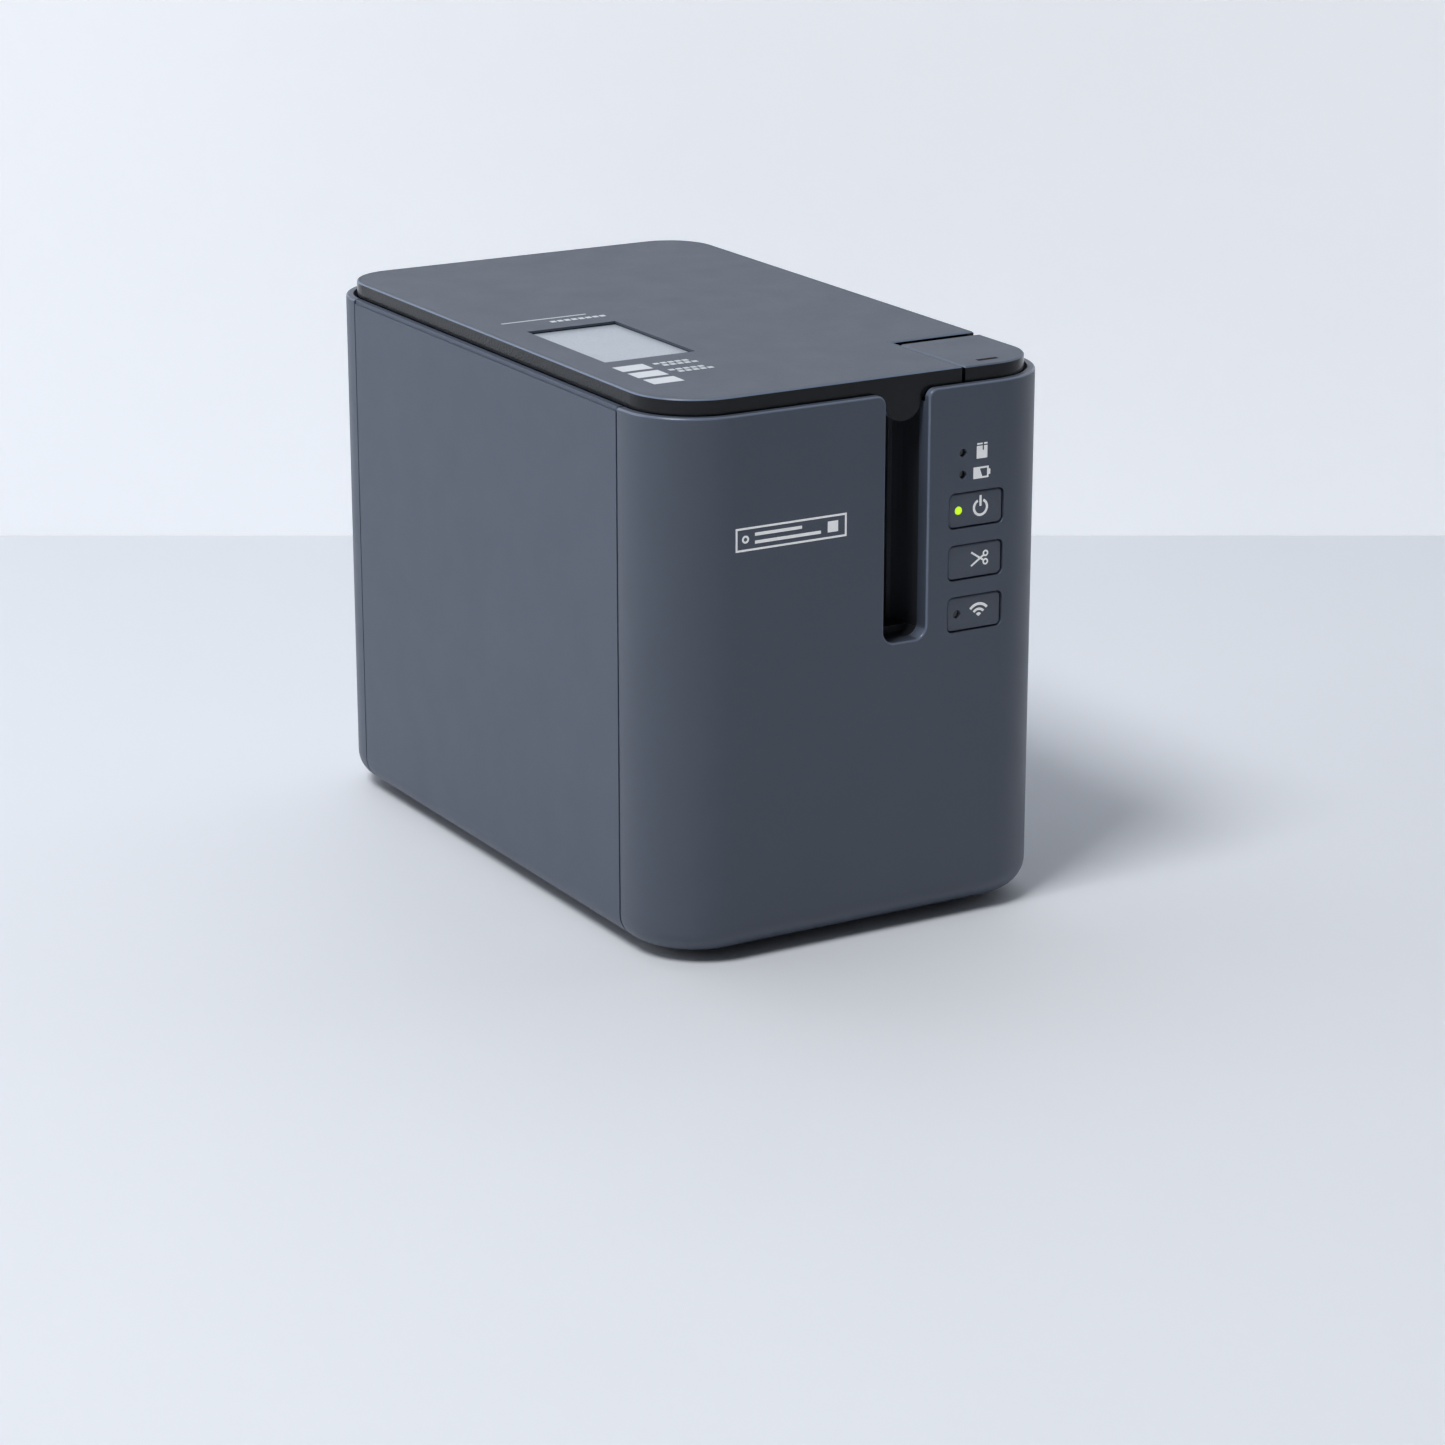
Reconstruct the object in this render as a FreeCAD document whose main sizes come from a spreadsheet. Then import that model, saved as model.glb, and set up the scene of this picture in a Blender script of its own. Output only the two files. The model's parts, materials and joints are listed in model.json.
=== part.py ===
import FreeCAD, Part
import math
import os

import Sketcher
from FreeCAD import Placement, Rotation, Vector

# A desktop label maker for 36 mm laminated tape, as an assembly of separate pieces.
#
# +X is to the right as seen from the front, +Y runs to the back and +Z is up. The origin is on the
# table, under the middle of the machine. Lengths are in millimetres.

doc = FreeCAD.newDocument("LabelMaker")
sheet = doc.addObject("Spreadsheet::Sheet", "Dimensions")

# name, value, what it is
CELLS = [
    ("width", 118.0, "whole machine across"),
    ("depth", 192.0, "whole machine front to back"),
    ("height", 146.0, "table to top of lid"),
    ("wall", 2.0, "shell thickness"),
    ("corner", 20.3, "radius of the shell's upright corners"),
    ("under_round", 7.2, "radius where the shell turns under"),
    ("rim_round", 0.65, "radius along the shell's top rim and round the channel"),
    ("shell_low", 2.5, "underside of the shells above the table"),
    ("rim", 141.8, "top edge of the shells"),
    ("seam", 0.4, "gap between a side panel and the rear cover"),
    ("front_gap", 0.7, "gap between a side panel and the front cover"),
    ("front_seam", -73.2, "where the front cover meets the side panels"),
    ("rear_seam", 75.0, "where the side panels meet the rear cover"),
    ("rim_strip", 1.1, "height of the rear cover's arms over the panels"),
    ("base_inset", 9.0, "opening under the shells, in from the outside"),
    ("base_low", 1.6, "underside of the bottom case"),
    ("foot_size", 6.0, "radius of a rubber foot"),
    ("lid_inset", 2.4, "lid in from the outside at the left and front"),
    ("lid_right", 4.9, "lid in from the outside at the right"),
    ("lid_rear", 7.0, "lid in from the outside at the back"),
    ("lid_low", 139.6, "bottom of the lid's skirt"),
    ("lid_skin", 0.6, "thickness of the lid's textured top panel"),
    ("lid_web", 2.0, "thickness of the lid frame under the panel"),
    ("lid_skirt", 1.6, "thickness of the lid's skirt"),
    ("lid_bevel", 0.35, "bevel round the lid's top edge"),
    ("pane_x", -33.2, "middle of the lid's window across"),
    ("pane_y", -23.5, "middle of the lid's window front to back"),
    ("pane_wide", 26.2, "window across"),
    ("pane_long", 42.2, "window front to back"),
    ("pane_deep", 0.9, "top of the pane below the lid"),
    ("pane_thick", 1.2, "thickness of the pane"),
    ("notch_x", 28.8, "left side of the lid's corner cut-out"),
    ("notch_y", -60.7, "back of the lid's corner cut-out"),
    ("notch_side_gap", 1.0, "gap left of the release button"),
    ("notch_rear_gap", 2.8, "gap behind the release button"),
    ("lid_corner", 13.9, "radius of the lid's upright corners except the front left one"),
    ("button_drop", 0.2, "top of the release button below the lid"),
    ("press_travel", 2.0, "travel of the release button"),
    ("hinge_y", 87.4, "lid hinge axis front to back"),
    ("hinge_z", 142.2, "lid hinge axis height"),
    ("hinge_x", 30.0, "middle of each hinge from the centre"),
    ("hinge_barrel", 2.0, "radius of the hinge knuckles"),
    ("hinge_pin", 1.0, "radius of the hinge pins"),
    ("deck_top", 138.6, "top of the inner deck"),
    ("slot_x", 11.3, "middle of the label channel in the front"),
    ("slot_wide", 12.6, "width of the channel at the front"),
    ("slot_low", 77.3, "bottom of the channel"),
    ("slot_deep", 4.4, "depth of the channel's collar in the front cover"),
    ("slot_round", 3.4, "radius of the channel's corners"),
    ("guide_deep", 12.1, "depth of the label guide behind the collar"),
    ("key_x", 32.3, "middle of the front buttons across"),
    ("key_wide", 16.8, "button aperture across"),
    ("key_high", 9.5, "button aperture height"),
    ("key_round", 1.7, "corner radius of a button aperture"),
    ("key_gap", 0.45, "gap round a button"),
    ("key_sunk", 0.4, "face of a button behind the front cover"),
    ("key_pitch", 13.6, "from one button to the next"),
    ("key_top_z", 109.3, "middle of the uppermost button"),
    ("lamp_x", 28.0, "indicator lamps across"),
    ("lamp_z", 124.3, "upper indicator lamp height"),
    ("lamp_pitch", 5.7, "between the indicator lamps"),
    ("lamp_size", 1.1, "radius of a lamp's hole"),
    ("key_lamp_x", 27.15, "lamp inside a button across"),
    ("tape_x", 12.0, "plane that the label tape runs in"),
    ("tape_wide", 36.0, "width of the label tape"),
    ("tape_mid", 115.0, "middle height of the label tape"),
    ("tape_thick", 0.2, "thickness of the label tape"),
    ("plate_top", 78.0, "top of the print unit frame's plate"),
    ("floor_top", 90.5, "top of the cassette well's floor"),
    ("tooth", 0.5, "gear module"),
    ("gear_low", 84.0, "underside of the upper gear layer"),
    ("gear_thick", 4.0, "thickness of a gear"),
    ("nip", 0.2, "roller surface off the tape"),
    ("platen_y", -30.0, "platen roller front to back"),
    ("platen_size", 5.0, "radius of the platen roller"),
    ("feed_y", -51.0, "feed roller front to back"),
    ("feed_size", 4.2, "radius of the feed roller"),
    ("pivot_x", 24.0, "roller holder pivot across"),
    ("pivot_y", -8.0, "roller holder pivot front to back"),
    ("shaft_size", 2.0, "radius of the roller shafts"),
    ("fit", 0.05, "running clearance of a shaft"),
    ("blade_y", -70.5, "plane where the two cutter blades meet"),
    ("blade_thick", 1.0, "thickness of a blade"),
    ("blade_pivot_x", 15.0, "moving blade's pivot across"),
    ("blade_pivot_z", 86.0, "moving blade's pivot height"),
    ("sector_size", 16.0, "pitch radius of the blade's toothed sector"),
    ("blade_open", 14.0, "how far the blade stands open, in degrees"),
    ("board_z", 22.0, "underside of the main board"),
    ("board_thick", 1.6, "thickness of the circuit boards"),
    ("panel_board_y", -84.0, "rear face of the button board"),
]


class Size:
    """A length that holds its number and its formula in the sheet's cells."""

    def __init__(self, value, formula):
        self.value = value
        self.formula = formula

    def joined(self, other, sign, number):
        text = other.formula if isinstance(other, Size) else repr(other)
        return Size(number, f"({self.formula} {sign} {text})")

    def __add__(self, other):
        return self.joined(other, "+", self.value + number_of(other))

    def __sub__(self, other):
        return self.joined(other, "-", self.value - number_of(other))

    def __mul__(self, other):
        return self.joined(other, "*", self.value * number_of(other))

    def __truediv__(self, other):
        return self.joined(other, "/", self.value / number_of(other))

    def __neg__(self):
        return self * -1

    def __radd__(self, other):
        return Size(other, repr(other)) + self

    def __rsub__(self, other):
        return Size(other, repr(other)) - self


def number_of(size):
    return size.value if isinstance(size, Size) else float(size)


class Sheet:
    """The driving dimensions, each an attribute with the name of its cell."""


d = Sheet()
for row, (name, value, note) in enumerate(CELLS, start=1):
    sheet.set(f"A{row}", name)
    sheet.set(f"B{row}", str(value))
    sheet.setAlias(f"B{row}", name)
    sheet.set(f"C{row}", note)
    setattr(d, name, Size(value, f"Dimensions.{name}"))
doc.recompute()


# ---------------------------------------------------------------- making objects

def bind(obj, prop, size):
    """Gives a property its value, tied to the sheet where the size comes from a cell."""
    if isinstance(size, Size):
        obj.setExpression(prop, size.formula)
    else:
        target = obj
        *path, last = prop.split(".")
        for part in path:
            target = getattr(target, part)
        setattr(target, last, float(size))


def place(obj, x, y, z):
    for axis, size in zip("xyz", (x, y, z)):
        if isinstance(size, Size):
            obj.setExpression(f"Placement.Base.{axis}", size.formula)
        else:
            base = Vector(obj.Placement.Base)
            setattr(base, axis, float(size))
            obj.Placement = Placement(base, obj.Placement.Rotation)


def box(x, y, z, name="Block"):
    """A block between two values on each axis."""
    made = doc.addObject("Part::Box", name)
    for prop, (low, high) in zip(("Length", "Width", "Height"), (x, y, z)):
        bind(made, prop, high - low)
    place(made, x[0], y[0], z[0])
    return made


TURNS = {"z": Rotation(), "x": Rotation(Vector(0, 1, 0), 90), "y": Rotation(Vector(1, 0, 0), -90)}


def rod(radius, span, x=0, y=0, z=0, axis="z", name="Rod"):
    """A cylinder along an axis, between the two values of span on it."""
    made = doc.addObject("Part::Cylinder", name)
    bind(made, "Radius", radius)
    bind(made, "Height", span[1] - span[0])
    made.Placement = Placement(Vector(), TURNS[axis])
    at = {"x": x, "y": y, "z": z, axis: span[0]}
    place(made, at["x"], at["y"], at["z"])
    return made


def fuse(*shapes, name="Joined"):
    made = doc.addObject("Part::MultiFuse", name)
    made.Shapes = list(shapes)
    return made


def cut(base, *tools, name="Cut"):
    made = doc.addObject("Part::Cut", name)
    made.Base = base
    made.Tool = tools[0] if len(tools) == 1 else fuse(*tools)
    return made


def common(base, tool, name="Shared"):
    made = doc.addObject("Part::Common", name)
    made.Base = base
    made.Tool = tool
    return made


def group(*shapes, name="Group"):
    """Separate solids kept in one node."""
    made = doc.addObject("Part::Compound", name)
    made.Links = list(shapes)
    return made


def rounded(obj, wanted, radius, name="Rounded"):
    """Rounds the edges that the test picks, by a radius from the sheet."""
    doc.recompute()
    made = doc.addObject("Part::Fillet", name)
    made.Base = obj
    size = number_of(radius)
    edges = enumerate(obj.Shape.Edges, start=1)
    made.Edges = [(number, size, size) for number, edge in edges if wanted(edge)]
    return made


def bevelled(obj, wanted, size, name="Bevelled"):
    doc.recompute()
    made = doc.addObject("Part::Chamfer", name)
    made.Base = obj
    wide = number_of(size)
    edges = enumerate(obj.Shape.Edges, start=1)
    made.Edges = [(number, wide, wide) for number, edge in edges if wanted(edge)]
    return made


PLANES = {"z": "XY_Plane", "y": "XZ_Plane"}


def sketch_on(body, axis, level):
    """A sketch across an axis of the body, at a level along it."""
    made = body.newObject("Sketcher::SketchObject", body.Name + "Sketch")
    plane = [f for f in body.Origin.OriginFeatures if f.Role == PLANES[axis]][0]
    made.AttachmentSupport = [(plane, "")]
    made.MapMode = "FlatFace"
    along = level if axis == "z" else -level
    if isinstance(along, Size):
        made.setExpression("AttachmentOffset.Base.z", along.formula)
    else:
        made.AttachmentOffset = Placement(Vector(0, 0, along), Rotation())
    return made


def tie(sketch, kind, geometry, point, size):
    """Holds a point of the sketch at a distance from its origin, tied to the sheet."""
    number = sketch.addConstraint(Sketcher.Constraint(kind, -1, 1, geometry, point, number_of(size)))
    if isinstance(size, Size):
        sketch.setExpression(f"Constraints[{number}]", size.formula)


def round_outline(sketch, across, along, radius, low_radius=None):
    """A rectangle with round corners, between two values on each of the sketch's axes.

    The corner at the low end of both axes can have a radius of its own.
    """
    x0, x1 = (number_of(v) for v in across)
    y0, y1 = (number_of(v) for v in along)
    r = number_of(radius)
    low = r if low_radius is None else number_of(low_radius)
    up = Vector(0, 0, 1)
    corners = [(x1 - r, y0 + r, r, -90), (x1 - r, y1 - r, r, 0),
               (x0 + r, y1 - r, r, 90), (x0 + low, y0 + low, low, 180)]
    sides = [((x0 + low, y0), (x1 - r, y0)), ((x1, y0 + r), (x1, y1 - r)),
             ((x1 - r, y1), (x0 + r, y1)), ((x0, y1 - r), (x0, y0 + low))]
    for start, end in sides:
        sketch.addGeometry(Part.LineSegment(Vector(*start, 0), Vector(*end, 0)))
    for x, y, size, turn in corners:
        circle = Part.Circle(Vector(x, y, 0), up, size)
        sketch.addGeometry(Part.ArcOfCircle(circle, math.radians(turn), math.radians(turn + 90)))
    for side in range(4):
        sketch.addConstraint(Sketcher.Constraint("Tangent", side, 2, 4 + side, 1))
        sketch.addConstraint(Sketcher.Constraint("Tangent", 4 + side, 2, (side + 1) % 4, 1))
    for side, kind in enumerate(("Horizontal", "Vertical", "Horizontal", "Vertical")):
        sketch.addConstraint(Sketcher.Constraint(kind, side))
    sizes = [(4, radius)]
    same = [5, 6, 7]
    if low_radius is not None:
        sizes.append((7, low_radius))
        same.remove(7)
    for corner in same:
        sketch.addConstraint(Sketcher.Constraint("Equal", 4, corner))
    for corner, size in sizes:
        number = sketch.addConstraint(Sketcher.Constraint("Radius", corner, number_of(size)))
        if isinstance(size, Size):
            sketch.setExpression(f"Constraints[{number}]", size.formula)
    tie(sketch, "DistanceY", 0, 1, along[0])
    tie(sketch, "DistanceX", 1, 1, across[1])
    tie(sketch, "DistanceY", 2, 1, along[1])
    tie(sketch, "DistanceX", 3, 1, across[0])


def outline(sketch, points):
    """A closed outline of straight sides, every corner tied to its place."""
    last = len(points) - 1
    at = [Vector(number_of(x), number_of(y), 0) for x, y in points]
    for number, start in enumerate(at):
        sketch.addGeometry(Part.LineSegment(start, at[(number + 1) % len(at)]))
    for number in range(len(at)):
        follower = 0 if number == last else number + 1
        sketch.addConstraint(Sketcher.Constraint("Coincident", number, 2, follower, 1))
    for number, (x, y) in enumerate(points):
        tie(sketch, "DistanceX", number, 1, x)
        tie(sketch, "DistanceY", number, 1, y)


def pad(body, sketch, length, taper=0.0):
    made = body.newObject("PartDesign::Pad", body.Name + "Pad")
    made.Profile = sketch
    bind(made, "Length", length)
    made.TaperAngle = taper
    body.Tip = made
    return made


def slab(x, y, radius, z, name="Slab", low_radius=None):
    """A flat block with round upright corners. The front left one can have its own radius."""
    body = doc.addObject("PartDesign::Body", name)
    sketch = sketch_on(body, "z", z[0])
    round_outline(sketch, x, y, radius, low_radius)
    pad(body, sketch, z[1] - z[0])
    return body


def inset_slab(inset, z, name="Slab", rear=None, right=None):
    """A slab that follows the machine's outline, in from the outside by an inset."""
    behind = d.depth / 2 - (inset if rear is None else rear)
    across = (-(d.width / 2 - inset), d.width / 2 - (inset if right is None else right))
    return slab(across, (-(d.depth / 2) + inset, behind), d.corner - inset, z, name)


def lid_slab(grow, z, name):
    """A slab that follows the lid's outline, in from it by an amount."""
    x = (-(d.width / 2) + d.lid_inset + grow, d.width / 2 - d.lid_right - grow)
    y = (-(d.depth / 2) + d.lid_inset + grow, d.depth / 2 - d.lid_rear - grow)
    return slab(x, y, d.lid_corner - grow, z, name, d.corner - d.lid_inset - grow)


def prism(points, axis, level, length, name="Prism"):
    """A straight-sided outline padded along an axis from a level."""
    body = doc.addObject("PartDesign::Body", name)
    sketch = sketch_on(body, axis, level)
    outline(sketch, points)
    pad(body, sketch, length).Reversed = axis == "y"
    return body


def key_slab(x, z, radius, y, name="Key"):
    """A block with round corners as seen from the front."""
    body = doc.addObject("PartDesign::Body", name)
    sketch = sketch_on(body, "y", y[0])
    round_outline(sketch, x, z, radius)
    pad(body, sketch, y[1] - y[0]).Reversed = True
    return body


parts = {}


def keep(label, obj):
    """Names a finished piece, which becomes a file of that name."""
    obj.Label = label
    parts[label] = obj
    return obj


# ---------------------------------------------------------------- gears and springs

def gear_solid(teeth, thick, bore, phase, module=None):
    """A spur gear standing on z = 0, with a tooth pointing at phase degrees."""
    module = module or d.tooth.value
    pitch_radius = teeth * module / 2
    root, tip = pitch_radius - 1.25 * module, pitch_radius + 0.85 * module
    step = 2 * math.pi / teeth
    corners = []
    for tooth in range(teeth):
        middle = math.radians(phase) + tooth * step
        for radius, share in ((root, -0.34), (tip, -0.12), (tip, 0.12), (root, 0.34)):
            turn = middle + share * step
            corners.append(Vector(radius * math.cos(turn), radius * math.sin(turn), 0))
    face = Part.Face(Part.makePolygon(corners + corners[:1]))
    hole = Part.makeCylinder(bore, thick + 2, Vector(0, 0, -1))
    return face.extrude(Vector(0, 0, thick)).cut(hole)


def meshed(phase, teeth, bearing, other_teeth):
    """The phase of a second gear, at a bearing from the first, that sits in mesh with it."""
    step, other_step = 360.0 / teeth, 360.0 / other_teeth
    share = ((bearing - phase) / step) % 1.0
    return bearing + 180.0 - other_step * (0.5 - share)


def solid_piece(label, shape, at=(0, 0, 0), turn=Rotation()):
    """A piece whose shape is made directly, put in its place."""
    made = doc.addObject("Part::Feature", label)
    made.Shape = shape
    made.Placement = Placement(Vector(*(number_of(v) for v in at)), turn)
    return keep(label, made)


def bearing_to(start, end):
    return math.degrees(math.atan2(end[1] - start[1], end[0] - start[0]))


def coil_solid(radius, wire, turns, rise):
    """A coil spring standing on z = 0, its wire run through short straight lengths."""
    steps = 16 * turns
    rings = []
    for step in range(steps + 1):
        turn = 2 * math.pi * turns * step / steps
        middle = Vector(radius * math.cos(turn), radius * math.sin(turn), rise * step / steps)
        outward = Vector(math.cos(turn), math.sin(turn), 0)
        corners = []
        for side in range(8):
            angle = 2 * math.pi * side / 8
            corners.append(middle + outward * (wire * math.cos(angle)) + Vector(0, 0, wire * math.sin(angle)))
        rings.append(Part.makePolygon(corners + corners[:1]))
    return Part.makeLoft(rings, True, True)


# ---------------------------------------------------------------- the casing

REACH = 8.0  # how far a cutting block runs past the surface that it cuts
HALF_X = d.width / 2
HALF_Y = d.depth / 2
FRONT = -HALF_Y
INNER_FRONT = FRONT + d.wall
INNER_REAR = HALF_Y - d.wall


def at_level(level):
    """Picks the edges that lie wholly at one height."""
    z = number_of(level)
    return lambda edge: abs(edge.BoundBox.ZMin - z) < 0.01 and abs(edge.BoundBox.ZMax - z) < 0.01


def whole_shell():
    """The four side walls as one shell, before it is divided."""
    outside = inset_slab(0, (d.shell_low, d.rim), "ShellOutside")
    outside = rounded(outside, at_level(d.shell_low), d.under_round)
    floor = d.shell_low + d.wall
    inside = inset_slab(d.wall, (floor, d.rim + REACH), "ShellInside")
    inside = rounded(inside, at_level(floor), d.under_round - d.wall)
    hole = inset_slab(d.base_inset, (0, floor + REACH), "ShellBase")
    return cut(outside, inside, hole, name="Shell")


def on_front(edge):
    """Picks the edges that lie on the front face."""
    return abs(edge.BoundBox.YMin - FRONT.value) < 0.01 and abs(edge.BoundBox.YMax - FRONT.value) < 0.01


def inset_of(point):
    """How far a point lies in from the machine's outline."""
    across, along = abs(point.x), abs(point.y)
    radius = d.corner.value
    over_x = across - (HALF_X.value - radius)
    over_y = along - (HALF_Y.value - radius)
    if over_x > 0 and over_y > 0:
        return radius - math.hypot(over_x, over_y)
    return min(HALF_X.value - across, HALF_Y.value - along)


def outer_rim(edge):
    """Picks the shell's outer top edge."""
    middle = edge.valueAt((edge.FirstParameter + edge.LastParameter) / 2)
    return at_level(d.rim)(edge) and inset_of(middle) < 0.01


def across_shell(y, name):
    """A block that takes a whole slice of the machine between two values of y."""
    return box((-HALF_X - REACH, HALF_X + REACH), y, (-REACH, d.height + REACH), name)


COLLAR_BACK = FRONT + d.slot_deep
COLLAR = 1.6


def channel_cutters():
    """The upright channel that the label leaves by, open at the top, with rounded lips."""
    half = d.slot_wide / 2
    x = (d.slot_x - half, d.slot_x + half)
    back = COLLAR_BACK + 1
    well = key_slab(x, (d.slot_low, d.rim + REACH * 2), d.slot_round, (FRONT - REACH, back), "Channel")
    lip = 2.6
    cutters = [well]
    for side, edge in ((-1, x[0]), (1, x[1])):
        span = (edge - lip, edge) if side < 0 else (edge, edge + lip)
        block = box(span, (FRONT - REACH, back), (d.rim - lip, d.rim + REACH), "LipBlock")
        centre = edge + side * lip
        round_off = rod(lip, (FRONT - REACH * 2, back + REACH), centre, 0, d.rim - lip, "y", "LipRound")
        cutters.append(cut(block, round_off, name="Lip"))
    return cutters


def channel_edge(edge):
    """Picks the channel's edge on the front face."""
    box_of = edge.BoundBox
    half = d.slot_wide.value / 2 + 3.2
    near = abs(box_of.XMin - d.slot_x.value) < half and abs(box_of.XMax - d.slot_x.value) < half
    return on_front(edge) and near and box_of.ZMin > d.slot_low.value - 0.01


def front_edges(edge):
    return outer_rim(edge) or channel_edge(edge)


GUIDE_TOP = d.lid_low - 1.2


def key_heights():
    return [d.key_top_z - d.key_pitch * row for row in range(3)]


def lamp_heights():
    return [d.lamp_z - d.lamp_pitch * row for row in range(2)]


def front_cover(shell):
    face = common(shell, across_shell((FRONT - REACH, d.front_seam - d.front_gap / 2), "FrontSlice"))
    half = d.slot_wide / 2 + COLLAR
    collar = box((d.slot_x - half, d.slot_x + half), (INNER_FRONT - 0.2, COLLAR_BACK),
                 (d.slot_low - COLLAR, GUIDE_TOP), "ChannelCollar")
    body = cut(fuse(face, collar), *channel_cutters(), name="ChannelCut")
    body = rounded(body, front_edges, d.rim_round)
    cutters = []
    for z in key_heights():
        x = (d.key_x - d.key_wide / 2, d.key_x + d.key_wide / 2)
        high = (z - d.key_high / 2, z + d.key_high / 2)
        cutters.append(key_slab(x, high, d.key_round, (FRONT - REACH, INNER_FRONT + 1), "KeyHole"))
    for z in lamp_heights():
        cutters.append(rod(d.lamp_size, (FRONT - REACH, INNER_FRONT + 1), d.lamp_x, 0, z, "y", "LampHole"))
    return keep("front_cover", cut(body, *cutters, name="FrontCover"))


def label_guide():
    """The dark funnel behind the channel, from its full width down to the slit for the tape."""
    half = d.slot_wide / 2
    left = d.slot_x - half
    right = d.slot_x + half
    back = COLLAR_BACK + d.guide_deep
    block = box((left - COLLAR, right + COLLAR), (COLLAR_BACK, back), (d.slot_low - COLLAR, GUIDE_TOP),
                "GuideBlock")
    slit = 1.6
    bend = []
    for step in range(1, 7):
        turn = math.radians(90 * step / 7)
        along = (right.value - d.tape_x.value - slit) * (1 - math.cos(turn))
        inward = (d.guide_deep.value - 2.0) * math.sin(turn)
        bend.append((right - along, COLLAR_BACK + inward))
    plan = [(left, COLLAR_BACK - 1), (right, COLLAR_BACK - 1), (right, COLLAR_BACK), *bend,
            (d.tape_x + slit, back + 1), (d.tape_x - slit, back + 1), (d.tape_x - slit, back - 2),
            (left, COLLAR_BACK + 5)]
    funnel = prism(plan, "z", d.slot_low + 2, d.rim + REACH - d.slot_low, "GuideFunnel")
    scoop = key_slab((left + 0.2, right - 0.2), (d.slot_low, d.slot_low + REACH), d.slot_round,
                     (COLLAR_BACK - 1, COLLAR_BACK + 4), "GuideScoop")
    return keep("label_guide", cut(block, funnel, scoop, name="LabelGuide"))


def side_panel(shell, side, label):
    x = (-HALF_X - REACH, 0) if side < 0 else (0, HALF_X + REACH)
    y = (d.front_seam + d.front_gap / 2, d.rear_seam - d.seam / 2)
    panel = common(shell, box(x, y, (-REACH, d.height), "PanelSlice"))
    panel = rounded(panel, outer_rim, d.rim_round)
    step = 0.35
    ring = cut(box(x, (FRONT, HALF_Y), (d.rim - d.rim_strip, d.rim + REACH), "StripOutside"),
               inset_slab(step, (0, d.height + REACH), "StripInside"))
    return keep(label, cut(panel, ring, name="Panel"))


PORTS = {  # name: (middle across, width, height of the opening)
    "dc_jack": (-34.0, 9.0, 11.0),
    "usb_b_port": (-16.0, 12.0, 10.8),
    "serial_port": (2.0, 14.0, 13.0),
    "lan_port": (20.0, 16.0, 13.5),
    "usb_a_port": (36.5, 13.2, 6.8),
}
BOARD_TOP = d.board_z + d.board_thick
PORT_GAP = 0.3


def rear_cover(shell):
    slice_y = (d.rear_seam + d.seam / 2, HALF_Y + REACH)
    body = rounded(common(shell, across_shell(slice_y, "RearSlice")), outer_rim, d.rim_round)
    holes = []
    for middle, wide, high in PORTS.values():
        x = (middle - wide / 2 - PORT_GAP, middle + wide / 2 + PORT_GAP)
        z = (BOARD_TOP - PORT_GAP, BOARD_TOP + high + PORT_GAP)
        holes.append(box(x, (INNER_REAR - 1, HALF_Y + REACH), z, "PortHole"))
    for column in range(-6, 7):
        x = column * 5.0
        holes.append(box((x - 1.0, x + 1.0), (INNER_REAR - 1, HALF_Y + REACH), (96, 112), "Vent"))
    return keep("rear_cover", cut(body, *holes, name="RearCover"))


# ---------------------------------------------------------------- base

POSTS = [(-44.0, -56.0), (44.0, -56.0), (-44.0, 60.0), (44.0, 60.0)]
BOARD_POSTS = [(-40.0, 0.0), (40.0, 0.0), (-40.0, 76.0), (40.0, 76.0)]
FOOT_SPOTS = [(-38.0, -74.0), (38.0, -74.0), (-38.0, 74.0), (38.0, 74.0)]
PLATE_LOW = d.plate_top - 3
SHANK = 1.3
BASE_FLOOR = 4.0
FOOT_RECESS = 0.8


def bottom_case():
    flange_low = d.shell_low + d.wall
    lower = inset_slab(d.base_inset + 0.4, (d.base_low, flange_low), "BaseLower")
    upper = inset_slab(7.6, (flange_low, flange_low + 2.5), "BaseFlange")
    hollow = inset_slab(12.0, (BASE_FLOOR, BASE_FLOOR + REACH), "BaseHollow")
    tray = cut(fuse(lower, upper), hollow)
    posts = [rod(4.5, (BASE_FLOOR, PLATE_LOW), x, y, name="Post") for x, y in POSTS]
    posts += [rod(3.2, (BASE_FLOOR, d.board_z), x, y, name="BoardPost") for x, y in BOARD_POSTS]
    holes = [rod(SHANK, (PLATE_LOW - 8, PLATE_LOW + 1), x, y, name="PostHole") for x, y in POSTS]
    holes += [rod(SHANK, (d.board_z - 7, d.board_z + 1), x, y, name="BoardHole") for x, y in BOARD_POSTS]
    foot_hole = (0, d.base_low + FOOT_RECESS)
    holes += [rod(d.foot_size + 0.1, foot_hole, x, y, name="FootHole") for x, y in FOOT_SPOTS]
    return keep("bottom_case", cut(fuse(tray, *posts), *holes, name="BottomCase"))


def rubber_feet():
    feet = [rod(d.foot_size, (0, d.base_low + FOOT_RECESS), x, y, name="Foot") for x, y in FOOT_SPOTS]
    return keep("rubber_feet", group(*feet, name="Feet"))


# ---------------------------------------------------------------- inner deck

WELL_X = (-54.2, 30.5)
WELL_Y = (-58.0, 40.0)
WELL_WALL = 1.6
LEGS = [(-48.0, -63.4), (48.0, -46.0), (-48.0, 66.0), (48.0, 66.0)]
LEG_RADIUS = 3.0
DECK_LOW = d.deck_top - 2
STEM = (44.0, -70.0)
STEM_RADIUS = 2.5
HOOK_Y = (-66.0, -62.0)
LEVER_X = 34.0
LEVER_Z = 126.0
LEVER_Y = (-66.2, -61.8)
CHEEK = 1.0
KNUCKLE = 8.0
KNUCKLE_GAP = 0.3


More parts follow.
